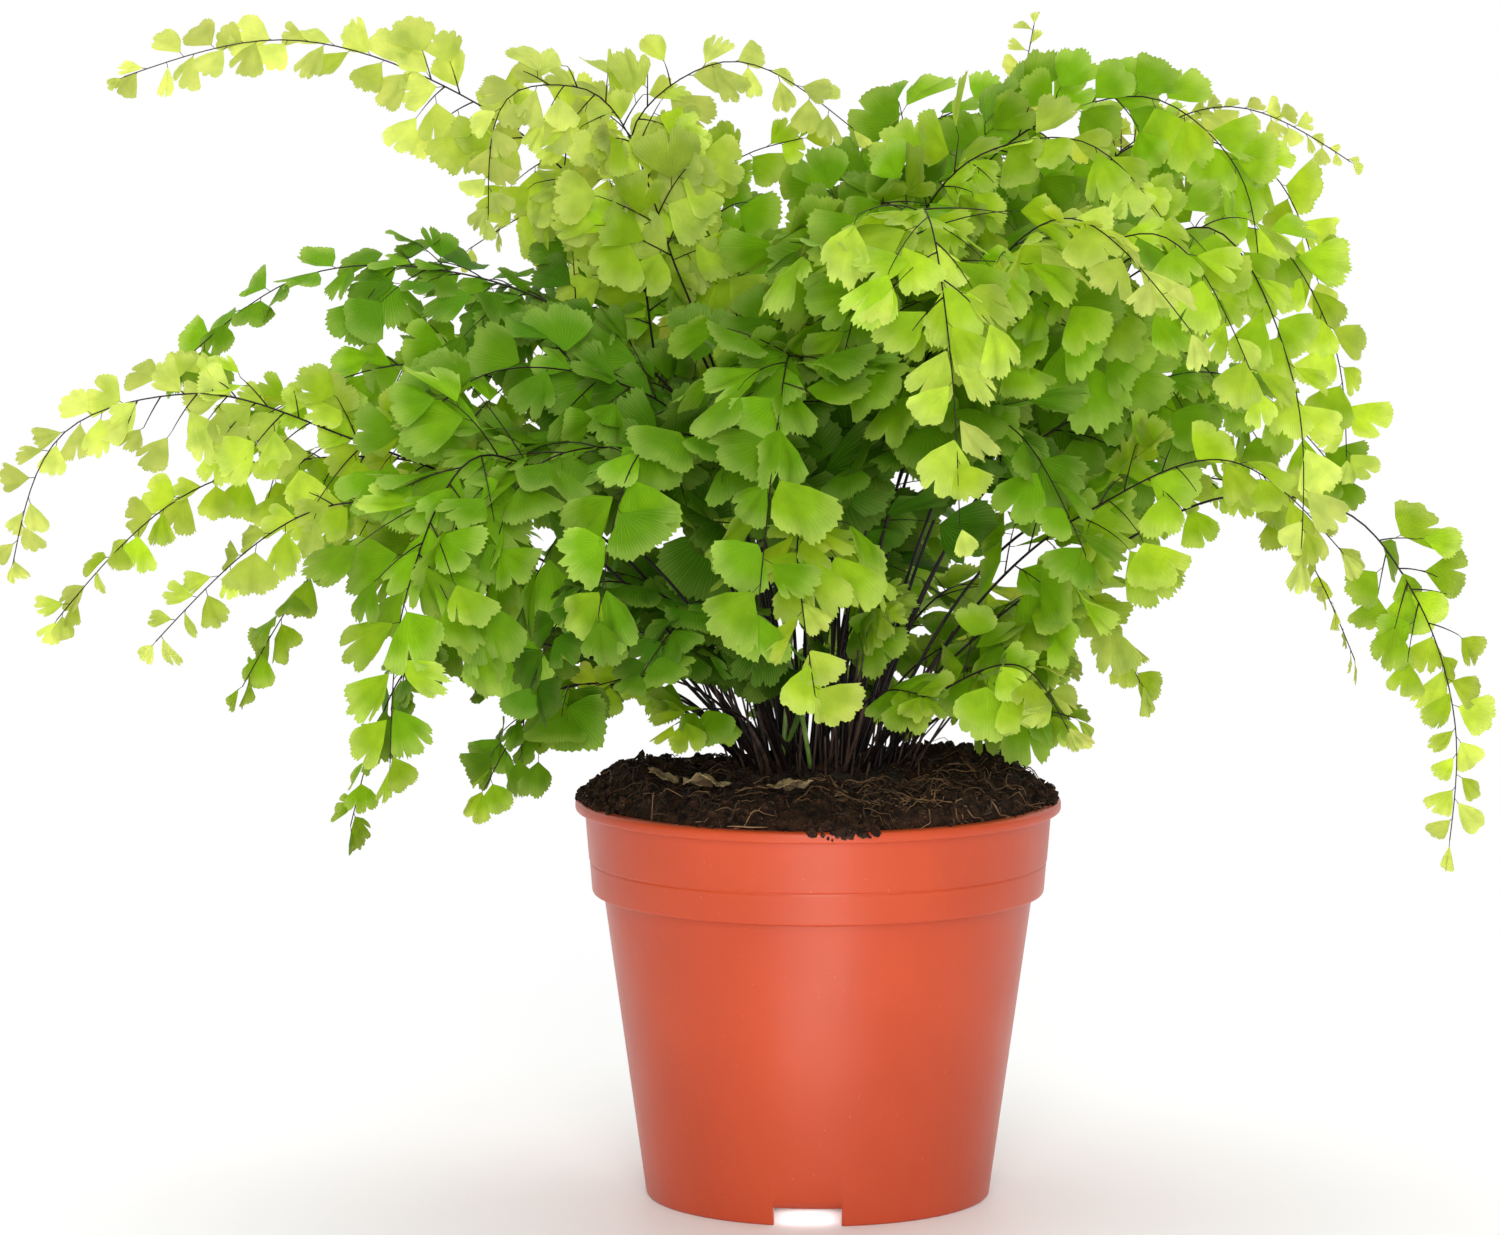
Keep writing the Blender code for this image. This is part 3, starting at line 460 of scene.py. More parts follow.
def across_disc(count, radius, rng):
    """Random x and y, even over a disc."""
    r, a = radius * np.sqrt(rng.uniform(0, 1, count)), rng.uniform(-math.pi, math.pi, count)
    return r * np.cos(a), r * np.sin(a)


crumb_count, lip_count = 3000, 900
x, y = across_disc(crumb_count, soil_edge - 0.5, soil_rng)
sizes = 0.30 + 1.5 * soil_rng.uniform(0, 1, crumb_count) ** 4
on_soil = np.stack([x, y, soil_top(x, y) + 0.25 * sizes], -1)
a = soil_rng.uniform(-math.pi, math.pi, lip_count)
r = soil_edge - 0.4 + (rim_radius - 0.9 - soil_edge) * soil_rng.uniform(0, 1, lip_count) ** 2
thick_there = lumps(60 * np.cos(a), 60 * np.sin(a), 7.0, 41) > soil_rng.uniform(-0.5, 0.9, lip_count)
a, r = a[thick_there], r[thick_there]
lip_sizes = 0.25 + 0.85 * soil_rng.uniform(0, 1, len(a)) ** 2
on_lip = polar(r, a, pot_height + 0.3 * lip_sizes)
# Three places where the soil has run over onto the lip: in front of the middle, at the left and at the right.
# For each the middle and half its width in degrees, its depth, its reach past the lip and its crumbs.
spill_places = ((-84.8, 3.4, 2.4, 0.6, 260), (178.0, 15.0, 5.0, -1.0, 480), (4.0, 12.0, 3.0, -1.0, 280))
spills, spill_sizes = [], []
for middle, half, deep, past, count in spill_places:
    a = np.radians(middle + half * soil_rng.normal(0, 1, count).clip(-2.2, 2.2))
    inward = soil_rng.uniform(0, 1, count)
    high = soil_rng.uniform(0, 1, count) * (0.3 + deep * inward)
    over = -2.6 * (past > 0) * soil_rng.uniform(0, 1, count) * (1 - 6.0 * inward).clip(0)
    spills.append(polar(rim_radius + past - 6.5 * inward, a, pot_height + 0.3 + high + over))
    spill_sizes.append(soil_rng.uniform(0.4, 1.5, count))
centres = np.concatenate([on_soil, on_lip, *spills])
sizes = np.concatenate([sizes, lip_sizes, *spill_sizes])
crumbs = mesh_piece("soil_crumbs", *pebbles(centres, sizes, soil_rng), peat, smooth=False)
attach(crumbs, "root")


def tubes(lines, radii, sides):
    """Closed round tubes along many lines at once. Lines is (lines, points, 3) and radii is broadcast to
    (lines, points). A ring at each point holds p + r (cos a u + sin a v), with u and v square to the way the
    line runs."""
    count, points, _ = lines.shape
    radii = np.broadcast_to(radii, (count, points))
    run = np.gradient(lines, axis=1)
    run /= np.linalg.norm(run, axis=2, keepdims=True) + 1e-12
    chord = lines[:, -1] - lines[:, 0]
    off = np.eye(3)[np.abs(chord).argmin(1)][:, None]
    u = np.cross(run, off)
    u /= np.linalg.norm(u, axis=2, keepdims=True) + 1e-12
    v = np.cross(run, u)
    a = 2 * math.pi * np.arange(sides) / sides
    around = np.cos(a)[:, None] * u[:, :, None] + np.sin(a)[:, None] * v[:, :, None]
    corners = lines[:, :, None] + radii[..., None, None] * around
    n, k, s = np.meshgrid(np.arange(count), np.arange(points - 1), np.arange(sides), indexing="ij")
    t, a0 = (s + 1) % sides, (n * points + k) * sides
    quads = np.stack([a0 + s, a0 + t, a0 + sides + t, a0 + sides + s], -1).reshape(-1, 4)
    first = np.arange(count)[:, None] * points * sides + np.arange(sides)[::-1]
    last = (np.arange(count)[:, None] + 1) * points * sides - sides + np.arange(sides)
    return corners.reshape(-1, 3), quads.tolist() + first.tolist() + last.tolist()


def lay_fibres(name, finish, x, y, length, radius, tip, lift):
    """A piece of bent threads that lie on the soil. Each starts at (x, y), heads a random way, turns steadily
    as it goes and follows the soil's height, with its middle and one end lifted a little. Length and radius
    are (least, most), and a thread thins to the share tip of its radius."""
    t = np.linspace(0, 1, 9)
    pick = lambda low, high: soil_rng.uniform(low, high, len(x))[:, None]
    step = pick(*length) / (len(t) - 1)
    way = pick(-math.pi, math.pi) + soil_rng.normal(0, 1.1, len(x))[:, None] * t
    px = x[:, None] + np.cumsum(step * np.cos(way), 1)
    py = y[:, None] + np.cumsum(step * np.sin(way), 1)
    outside = np.maximum(np.hypot(px, py) / (rim_radius - 1), 1)
    px, py = px / outside, py / outside
    pz = np.maximum(soil_top(px, py), pot_height + 0.2) + 0.2
    pz += (pick(0, 1) * np.sin(math.pi * t) + pick(-0.6, 1) * t**2) * lift
    thick = pick(*radius) * np.linspace(1, tip, len(t))
    return mesh_piece(name, *tubes(np.stack([px, py, pz], -1), thick, 4), finish)


root_fibre, tree, place = new_finish("root_fibre")
tan = mottled(tree, place, 90.0, 0.35, 0.65, (0.10, 0.048, 0.022), (0.34, 0.18, 0.085))
show(tree, surface(tree, tan, 0.8))
root_count, more_roots, twig_count = 170, 120, 340
x, y = across_disc(root_count, soil_edge - 1, soil_rng)
# More of the roots show at the front right.
more_x, more_y = soil_rng.normal(30, 14, more_roots), soil_rng.normal(-26, 14, more_roots)
keep = np.hypot(more_x, more_y) < soil_edge - 1
x, y = np.concatenate([x, more_x[keep]]), np.concatenate([y, more_y[keep]])
roots = lay_fibres("root_fibres", root_fibre, x, y, (4, 15), (0.09, 0.22), 0.5, 1.5)
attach(roots, "root")

dark_fibre, tree, place = new_finish("dark_fibre")
brown = mottled(tree, place, 120.0, 0.4, 0.65, (0.018, 0.010, 0.007), (0.075, 0.038, 0.02))
show(tree, surface(tree, brown, 0.85))
x, y = across_disc(twig_count, soil_edge - 0.5, soil_rng)
twigs = lay_fibres("peat_fibres", dark_fibre, x, y, (3, 10), (0.14, 0.38), 0.4, 1.7)
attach(twigs, "root")


# The rhizome ------------------------------------------------------------------
# The fern's creeping rootstock: a knotty, branched clump at the middle of the pot, covered in dark brown
# scales and half sunk in the soil. Stubs of old stalks stand on it, broken off at different heights.

crown_rng = np.random.default_rng(11)


def crown_height(x, y):
    """A dome over the shoulder, z = shoulder + rise sqrt(1 - (r / radius)^2), with knobs on it."""
    share = np.clip(np.hypot(x, y) / crown_radius, 0, 1)
    dome = crown_shoulder + (crown_top - crown_shoulder) * np.sqrt(1 - share**2)
    return dome + (0.9 * lumps(x, y, 6.0, 31) + 0.6 * lumps(x, y, 2.6, 32)) * (1 - share**4)


rhizome_scales, tree, place = new_finish("rhizome_scales")
color = mottled(tree, place, 500.0, 0.4, 0.65, (0.010, 0.006, 0.005), (0.055, 0.030, 0.018))
scales = spots(tree, scaled(tree, place, (1, 1, 0.4)), 1500.0, 0.3, 0.7)
show(tree, surface(tree, color, 0.75, normal=bumped(tree, scales, 1.0, 0.0006)))

top_radii = np.linspace(0, crown_radius - 0.2, 36)
under = [(crown_radius, 101.5), (crown_radius - 1, crown_foot + 0.6), (0, crown_foot + 0.6)]
rhizome = mesh_piece("rhizome_clump", *mound(top_radii, crown_height, under, 120), rhizome_scales)
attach(rhizome, "root")
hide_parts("rhizome")

crown_crumb_count, stub_count = 900, 110
x, y = across_disc(crown_crumb_count, crown_radius + 2, crown_rng)
sizes = 0.3 + 1.3 * crown_rng.uniform(0, 1, crown_crumb_count) ** 3
centres = np.stack([x, y, np.maximum(crown_height(x, y), soil_top(x, y)) + 0.2 * sizes], -1)
crown_crumbs = mesh_piece("crown_crumbs", *pebbles(centres, sizes, crown_rng), peat, smooth=False)
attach(crown_crumbs, "root")

old_stalk, tree, place = new_finish("old_stalk")
streaked = scaled(tree, place, (1, 1, 0.15))
color = mottled(tree, streaked, 900.0, 0.35, 0.65, (0.010, 0.006, 0.005), (0.070, 0.034, 0.020))
show(tree, surface(tree, color, 0.6))
x, y = across_disc(stub_count, crown_radius - 3, crown_rng)
pick = lambda low, high: crown_rng.uniform(low, high, (stub_count, 1))
length = pick(5, 34)
t = np.linspace(0, 1, 7)
lean = np.stack([x, y], -1) / crown_radius * pick(0.2, 0.9) + crown_rng.normal(0, 0.10, (stub_count, 2))
line = np.stack([
    x[:, None] + length * t * lean[:, :1],
    y[:, None] + length * t * lean[:, 1:],
    (crown_height(x, y) - 1)[:, None] + length * t,
], -1)  # fmt: skip
line[..., :2] += crown_rng.normal(0, 0.6, (stub_count, 1, 2)) * (t**2)[:, None]
old = mesh_piece("old_stalk_stubs", *tubes(line, pick(0.18, 0.40) * np.linspace(1.1, 0.8, 7), 6), old_stalk)
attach(old, "root")


# The fronds -------------------------------------------------------------------
# Each frond is a wiry, glossy, near-black stalk that bears thin side branches alternately left and right, and
# each branch bears fan-shaped leaflets on hair-thin stalks. It grew as one piece from the rhizome.

# The points that a stalk passes on its way to its tip, the share of it that is bare, the reach of its longest
# side branch, its leaflet's width, how far its face is turned to the front and how young it is.
Frond = namedtuple("Frond", "route bare reach leaf turned young")
fronds = {
    "left_1": ([(-38, 4, 226), (-86, 10, 273), (-132, 12, 288), (-172, 8, 279)], 0.50, 14, 11, 0.9, 0.95),
    "left_2": (
        [(-40, -6, 206), (-86, -12, 231), (-126, -14, 231), (-156, -16, 210)],
        0.34, 36, 12, 0.4, 0.15,
    ),
    "left_3": ([(-45, -30, 204), (-82, -48, 209), (-104, -58, 189)], 0.34, 28, 16, 0.7, 0.2),
    "left_4": (
        [(-62, -22, 168), (-112, -34, 192), (-152, -40, 204), (-182, -42, 195), (-195, -43, 163)],
        0.48, 17, 10, 0.9, 0.9,
    ),
    "left_5": ([(-60, -4, 170), (-112, -8, 186), (-152, -12, 179), (-188, -14, 146)], 0.46, 15, 10, 0.8, 0.7),
    "left_6": ([(-62, -38, 157), (-116, -48, 178), (-160, -50, 145)], 0.44, 16, 11, 0.8, 0.75),
    "left_7": ([(-58, 10, 152), (-108, 10, 169), (-144, 6, 127)], 0.42, 15, 11, 0.3, 0.5),
    "left_8": ([(-55, -28, 138), (-92, -38, 144), (-114, -42, 99)], 0.48, 16, 12, 0.2, 0.4),
    "left_9": ([(-38, -30, 129), (-64, -42, 132), (-81, -46, 109)], 0.64, 19, 11, 0.2, 0.4),
    "left_10": ([(-50, -14, 190), (-100, -24, 210), (-142, -28, 194)], 0.40, 34, 12, 0.7, 0.4),
    "top_1": ([(-34, -12, 230), (-58, -22, 277), (-74, -32, 276), (-80, -38, 247)], 0.56, 21, 11, 0.8, 0.95),
    "top_2": (
        [(-40, -2, 207), (-44, -6, 243), (-45, -9, 268), (-24, -12, 283), (8, -14, 267)],
        0.50, 22, 11, 0.9, 0.95,
    ),
    "top_3": ([(-21, 6, 228), (-23, 6, 256), (-4, 2, 264)], 0.64, 23, 11, 0.8, 0.45),
    "top_4": ([(-30, 24, 225), (-52, 30, 249), (-88, 32, 235)], 0.52, 28, 11, 0.6, 0.8),
    "top_5": ([(9, -14, 228), (15, -38, 251), (5, -71, 215)], 0.42, 31, 14.5, 0.0, 0.4),
    "top_6": (
        [(28, -2, 243), (52, -8, 267), (82, -14, 274), (101, -20, 258), (107, -24, 230)],
        0.42, 22, 13.5, 0.9, 0.45,
    ),
    "top_7": ([(32, 32, 232), (50, 44, 269), (55, 46, 291)], 0.72, 8, 7, 0.9, 1.0),
    "top_8": ([(58, 40, 244), (108, 56, 270), (137, 60, 256)], 0.66, 8, 7, 0.9, 1.0),
    "top_9": ([(4, 18, 226), (-12, 44, 233), (-26, 66, 217)], 0.44, 30, 12, 0.2, 0.4),
    "top_10": ([(15, 8, 236), (22, 14, 262), (40, 20, 271), (62, 28, 252)], 0.48, 30, 13, 0.6, 0.45),
    "top_11": ([(18, -20, 234), (38, -34, 261), (62, -44, 265), (84, -50, 243)], 0.42, 28, 14.5, 0.6, 0.65),
    "right_10": ([(52, 12, 236), (86, 16, 264), (112, 18, 256), (125, 18, 228)], 0.50, 18, 13, 0.8, 0.55),
    "right_1": (
        [(60, -26, 224), (94, -48, 244), (112, -62, 209), (114, -66, 169)],
        0.42, 20, 14.5, 0.7, 0.65,
    ),
    "front_1": ([(-6, -34, 201), (-8, -70, 215), (-12, -98, 190), (-15, -106, 160)], 0.36, 31, 17, 0.0, 0.3),
    "front_2": ([(14, -42, 223), (24, -86, 250), (29, -110, 218), (31, -118, 180)], 0.46, 34, 15.5, 0.0, 0.7),
    "front_3": ([(32, -46, 223), (60, -88, 248), (84, -108, 224)], 0.40, 28, 15.5, 0.3, 0.75),
    "front_4": ([(46, -36, 223), (82, -62, 243), (102, -76, 209)], 0.40, 22, 14.5, 0.5, 0.55),
    "front_5": ([(-3, -58, 173), (-6, -98, 170), (-2, -114, 140)], 0.50, 15, 14.5, 0.0, 0.7),
    "front_6": ([(-26, -50, 193), (-44, -90, 192), (-52, -106, 158)], 0.36, 25, 18, 0.0, 0.3),
    "front_7": ([(-46, -46, 191), (-70, -76, 187), (-80, -90, 152)], 0.38, 27, 17, 0.2, 0.3),
    # front_9 and front_10 are made as old as can be, the darkest green with the most painted shade: painted
    # shade, where the fronds above shade them.
    "front_9": ([(-36, -56, 155), (-58, -80, 161), (-68, -92, 140)], 0.44, 12, 13, 0.0, 0.0),
    "front_10": ([(-18, -60, 151), (-32, -92, 156), (-42, -106, 144)], 0.48, 9, 12, 0.0, 0.0),
    "front_11": (
        [(-52, -42, 173), (-82, -68, 191), (-97, -90, 162), (-101, -97, 122)],
        0.44, 36, 15.5, 0.6, 0.5,
    ),
    "front_12": ([(22, -30, 191), (46, -58, 199), (62, -80, 169)], 0.34, 31, 14.5, 0.1, 0.15),
    "right_2": ([(70, -6, 226), (108, -14, 242), (125, -18, 217), (129, -20, 187)], 0.46, 18, 13, 0.8, 0.6),
    "right_3": (
        [(66, -16, 160), (104, -24, 178), (130, -28, 173), (145, -30, 154), (155, -32, 123), (154, -33, 94)],
        0.66, 11, 10.5, 0.9, 0.75,
    ),
    "right_4": ([(64, -40, 175), (98, -56, 189), (124, -62, 168)], 0.38, 22, 13.5, 0.6, 0.7),
    "right_5": ([(45, 18, 212), (86, 26, 214), (114, 30, 183)], 0.38, 25, 13, 0.3, 0.2),
    "right_6": ([(34, -20, 138), (62, -30, 157), (78, -34, 133)], 0.40, 24, 13.5, 0.3, 0.7),
    "right_7": ([(28, -40, 131), (49, -54, 139), (59, -60, 125)], 0.56, 11, 11, 0.7, 0.8),
    "right_8": ([(58, 6, 170), (104, 6, 178), (134, 4, 134)], 0.46, 11, 10, 0.2, 0.75),
    "right_9": ([(60, -8, 194), (98, -12, 207), (128, -14, 182)], 0.40, 22, 13.5, 0.7, 0.3),
    "back_1": ([(36, 42, 204), (62, 84, 205), (78, 108, 170)], 0.38, 31, 14.5, 0.0, 0.35),
    "back_2": ([(16, 46, 215), (28, 94, 214), (36, 122, 178)], 0.42, 33, 14.5, 0.0, 0.5),
    "back_3": ([(-8, 50, 204), (-14, 100, 204), (-20, 128, 164)], 0.38, 33, 15.5, 0.0, 0.3),
    "back_4": ([(-32, 44, 207), (-54, 86, 206), (-70, 112, 174)], 0.42, 31, 14.5, 0.0, 0.6),
    "back_5": ([(-24, 34, 137), (-42, 62, 145), (-54, 82, 123)], 0.34, 27, 15.5, 0.0, 0.1),
    "back_6": ([(58, 30, 189), (98, 56, 195), (124, 76, 159)], 0.42, 28, 13.5, 0.0, 0.5),
    "back_7": ([(8, 56, 159), (14, 98, 158), (18, 126, 114)], 0.30, 29, 15.5, 0.0, 0.25),
    "back_8": ([(22, 34, 137), (40, 60, 147), (52, 80, 125)], 0.34, 27, 15.5, 0.0, 0.7),
}


def smooth_line(through, count):
    """Points evenly spaced along a smooth curve through the given points: a cubic Hermite curve whose
    slope at each point is that of the parabola through it and its neighbours."""
    p = np.array(through, float)
    t = np.concatenate([[0], np.cumsum(np.linalg.norm(np.diff(p, axis=0), axis=1))])
    step, chord = np.diff(t)[:, None], np.diff(p, axis=0)
    rate = chord / step
    slope = np.empty_like(p)
    slope[1:-1] = (rate[:-1] * step[1:] + rate[1:] * step[:-1]) / (step[1:] + step[:-1])
    slope[0], slope[-1] = 1.5 * rate[0] - 0.5 * slope[1], 1.5 * rate[-1] - 0.5 * slope[-2]
    at = np.linspace(0, t[-1], 8 * count)
    k = np.clip(np.searchsorted(t, at, "right") - 1, 0, len(p) - 2)
    h = step[k]
    s = (at[:, None] - t[k][:, None]) / h
    fine = (
        (1 + 2 * s) * (1 - s) ** 2 * p[k]
        + s * (1 - s) ** 2 * h * slope[k]
        + s**2 * (3 - 2 * s) * p[k + 1]
        + s**2 * (s - 1) * h * slope[k + 1]
    )
    along = np.concatenate([[0], np.cumsum(np.linalg.norm(np.diff(fine, axis=0), axis=1))])
    even = np.linspace(0, along[-1], count)
    return np.stack([np.interp(even, along, fine[:, i]) for i in range(3)], axis=1)


def unit(v):
    """The vectors with a length of 1."""
    return v / (np.linalg.norm(v, axis=-1, keepdims=True) + 1e-12)


def square_to(v, way):
    """The part of each vector that is square to its way, with a length of 1."""
    return unit(v - (v * way).sum(-1, keepdims=True) * way)


def above_crown(x, y, lift):
    """The point this far off the rhizome's smooth dome, square to it at (x, y)."""
    radius = math.hypot(x, y)
    share = radius / crown_radius
    rise = crown_top - crown_shoulder
    slope = rise * share / math.sqrt(1 - share**2) / crown_radius
    normal = unit(np.array([slope * x / radius, slope * y / radius, 1]))
    return np.array([x, y, crown_shoulder + rise * math.sqrt(1 - share**2)]) + lift * normal


inner_feet, outer_feet, stalk_seat = 3.0, 25.0, 0.75
rough_points, stalk_points = 24, 120


def stalk_line(route, turn, bow, count):
    """A stalk from its foot on the rhizome to its tip. It grows nearer the edge the more it leans, turned
    round by some degrees, and it is bowed sideways by a half sine wave."""
    x, y, z = route[0]
    lean = math.atan2(math.hypot(x, y), z - crown_top)
    radius = inner_feet + (outer_feet - inner_feet) * lean / (math.pi / 2)
    way = math.atan2(y, x) + math.radians(turn)
    foot = above_crown(radius * math.cos(way), radius * math.sin(way), stalk_seat)
    line = smooth_line([foot, *route], count)
    aside = unit(np.cross(line[-1] - line[0], (0, 0, 1)))
    return line + bow * np.sin(math.pi * np.linspace(0, 1, count))[:, None] * aside


def fitted_line(frond, node):
    """The stalk's line that lies nearest the CAD node: of every turn and bow that the CAD may have given it,
    the one whose bare part is least far from the node's surface."""
    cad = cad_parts[node].data
    corners = np.empty(len(cad.vertices) * 3, np.float32)
    cad.vertices.foreach_get("co", corners)
    corners = (corners.reshape(-1, 3) / MM).tolist()
    tree = BVHTree.FromPolygons(corners, [tuple(face.vertices) for face in cad.polygons])
    shifts = [(turn, bow) for turn in range(-90, 91, 15) for bow in range(-9, 10, 3)]

    def off(shift):
        """How far the bare part of the line with this turn and bow is from the node, added up."""
        line = stalk_line(frond.route, *shift, rough_points)[: 1 + int(rough_points * frond.bare)]
        return sum(tree.find_nearest(Vector(point))[3] for point in line[::2])

    return stalk_line(frond.route, *min(shifts, key=off), stalk_points)


def stalk_frames(line, turned_to_front):
    """For each point of a stalk the way it runs, its upper face and its side. The face is the one that
    gravity gives an arching leaf, turned towards the front by the given share."""
    along = unit(np.gradient(line, axis=0))
    out = unit(line[-1] * (1, 1, 0))
    hung = unit(np.cross(np.cross(out, (0, 0, 1)), along))
    shown = square_to(np.broadcast_to((0, -1, 0.25), along.shape), along)
    face = square_to((1 - turned_to_front) * hung + turned_to_front * shown, along)
    return along, face, np.cross(along, face)


RAYS = 33


def fans(base, way, normal, size, spread, rng):
    """Fan-shaped leaflets, each a sheet of 32 narrow sectors cut at half its length. A point at share u
    across and v out lies at the angle (u - 1/2) spread and at v R(u). The outline R falls towards both sides,
    dips between uneven lobes as |sin(pi n u')|^0.6, and has teeth of uneven depth and up to two slits. The
    sheet is cupped across, curls along, and ripples at its edge."""
    count = len(base)
    u = np.linspace(0, 1, RAYS)[None]
    pick = lambda low, high: rng.uniform(low, high, (count, 1))
    lobes = rng.choice([2, 3, 3, 4, 4, 5], count)[:, None]
    shifted = u + pick(-0.05, 0.05) * np.sin(2 * math.pi * u + pick(0, 6.3))
    depth = pick(0.04, 0.15)
    slits = np.ones((count, RAYS))
    for deepest in (0.40, 0.22):
        between_lobes = rng.integers(1, 5, (count, 1)).clip(None, lobes - 1) / lobes + pick(-0.04, 0.04)
        slit_at = np.round(between_lobes * (RAYS - 1)) / (RAYS - 1)
        slits *= 1 - pick(-0.25, deepest).clip(0) * np.exp(-(((u - slit_at) / pick(0.018, 0.034)) ** 2))
    teeth = pick(0.025, 0.068) * (np.arange(RAYS) % 2)[None] * rng.uniform(0.4, 1.4, (count, RAYS))
    outline = (
        (1 - (0.08 + pick(0, 0.13)) * np.abs(2 * u - 1) ** 2.6)
        * (1 + pick(-0.18, 0.18) * (2 * u - 1))
        * (1 - depth + depth * np.abs(np.sin(math.pi * lobes * shifted)) ** 0.6)
        * slits
        * (1 - teeth + pick(-0.05, 0.05) * np.sin(pick(0, 6.3) + 5 * u))
    )
    angle = (u - 0.5) * spread[:, None]
    cup, curl, wave, phase = pick(-0.45, 0.60), pick(-0.15, 0.50), pick(0.01, 0.06), pick(0, 6.3)
    rings = []
    for v, widen, edge in ((0.5, 1.12, outline.mean(1, keepdims=True)), (1.0, 1.0, outline)):
        side, out = edge * v * np.sin(angle * widen), edge * v * np.cos(angle * widen)
        up = -cup * side**2 - curl * out**2 + wave * v**2 * np.sin(phase + 4 * math.pi * u) * 1.4
        rings.append(np.stack([side, out, up], -1))
    flat = np.concatenate(rings, 1) * size[:, None, None]
    across = np.cross(way, normal)
    side, out, up = flat[..., :1], flat[..., 1:2], flat[..., 2:]
    corners = base[:, None] + side * across[:, None] + out * way[:, None] + up * normal[:, None]
    corners = np.concatenate([base[:, None], corners], 1)
    i = np.arange(RAYS - 1)
    start = (1 + 2 * RAYS) * np.arange(count)[:, None]
    inner = np.stack([start + 0 * i, start + 1 + i + 1, start + 1 + i], -1)
    outer = np.stack([start + 1 + i, start + 2 + i, start + 2 + RAYS + i, start + 1 + RAYS + i], -1)
    # The UV map has u across the leaflet and v out along it. A sector's inner corner lies midway across it.
    mid, ones = (u[0, :-1] + u[0, 1:]) / 2, np.ones(RAYS - 1)
    inner_uv = np.stack([mid, 0 * ones, u[0, 1:], 0.5 * ones, u[0, :-1], 0.5 * ones], -1)
    outer_uv = np.stack([u[0, :-1], 0.5 * ones, u[0, 1:], 0.5 * ones, u[0, 1:], ones, u[0, :-1], ones], -1)
    uv = np.concatenate([np.tile(inner_uv.ravel(), count), np.tile(outer_uv.ravel(), count)])
    return corners.reshape(-1, 3), inner.reshape(-1, 3).tolist() + outer.reshape(-1, 4).tolist(), uv


# Veins that fan out from a leaflet's base and fork on the way, and the band along its outer edge.
fan_veins, given, made = shader_group("fan_veins", {"UV": "Vector"}, ["Vein", "Margin"])
parts = add(fan_veins, "SeparateXYZ", {0: given.outputs["UV"]})
veins_inside, veins_outside = 13, 26
phases = [times(fan_veins, parts.outputs["X"], 2 * math.pi * n) for n in (veins_inside, veins_outside)]
few, many = (ramp(fan_veins, maths(fan_veins, "COSINE", phase), 0.2) for phase in phases)
forked = ramp(fan_veins, parts.outputs["Y"], 0.35, 0.65)
veins = add(fan_veins, "Mix", {"Factor": forked, "A": few, "B": many}, data_type="FLOAT")
fan_veins.links.new(veins.outputs[0], made.inputs["Vein"])
fan_veins.links.new(ramp(fan_veins, parts.outputs["Y"], 0.55, smooth=True), made.inputs["Margin"])


def veins_and_margin(tree):
    """The masks of a leaflet's veins and of its outer edge."""
    uv = add(tree, "UVMap", uv_map="fan").outputs[0]
    fan = add(tree, "Group", {"UV": uv}, node_tree=fan_veins)
    return fan.outputs["Vein"], fan.outputs["Margin"]


def stored_value(tree, name):
    """The value of this name that the piece's corners store."""
    return add(tree, "Attribute", attribute_name=name).outputs["Fac"]


leaf_green, tree, place = new_finish("leaf_green")
vein, margin_and_glow = veins_and_margin(tree)
young = stored_value(tree, "young")
color = blend(tree, ramp(tree, young, 0.0, 0.5), (0.045, 0.160, 0.002), (0.200, 0.425, 0.003))
color = blend(tree, ramp(tree, young, 0.5, 0.8), color, (0.480, 0.680, 0.030))
# The youngest leaflets are palest and greyest: partly their own fresh green, partly painted light, as if
# light washed them out.
color = blend(tree, ramp(tree, young, 0.75), color, (0.610, 0.720, 0.180))
# The outer edge is painted paler, more on young leaflets: partly the leaflet's own paler rim, partly painted
# light shining through its thin edge.
pale = ramp(tree, young, to_low=0.12, to_high=0.60)
color = blend(tree, times(tree, margin_and_glow, pale), color, (0.68, 0.78, 0.24))
color = blend(tree, times(tree, vein, 0.18), color, (0.40, 0.60, 0.10))
color = mottled(tree, place, 170.0, 0.35, 0.65, color, (0.060, 0.200, 0.004), 0.30)
# Each leaflet's colour is scaled by its stored tone: a random tone, less the painted shade of the low inner
# leaflets.
shade = ramp(tree, stored_value(tree, "tone_and_shade"), -0.9, 1.0, 0.34, 1.32)
color = add(tree, "VectorMath", {0: color, 3: shade}, operation="SCALE").outputs[0]
ridges = bumped(tree, vein, 0.45, 0.00012)
through = add(tree, "BsdfTranslucent", {"Color": scaled(tree, color, (1.34, 1.12, 0.60)), "Normal": ridges})
letting = ramp(tree, young, to_low=0.28, to_high=0.46)
show(tree, mixed(tree, letting, surface(tree, color, 0.5, 0.06, ridges), through))

stalk_black, tree, place = new_finish("stalk_black")
along = scaled(tree, place, (1, 1, 0.3))
color = mottled(tree, along, 300.0, 0.4, 0.6, (0.006, 0.004, 0.005), (0.018, 0.009, 0.008))
color = blend(tree, stored_value(tree, "thin"), color, (0.022, 0.010, 0.006))
show(tree, surface(tree, color, 0.35, 0.2))


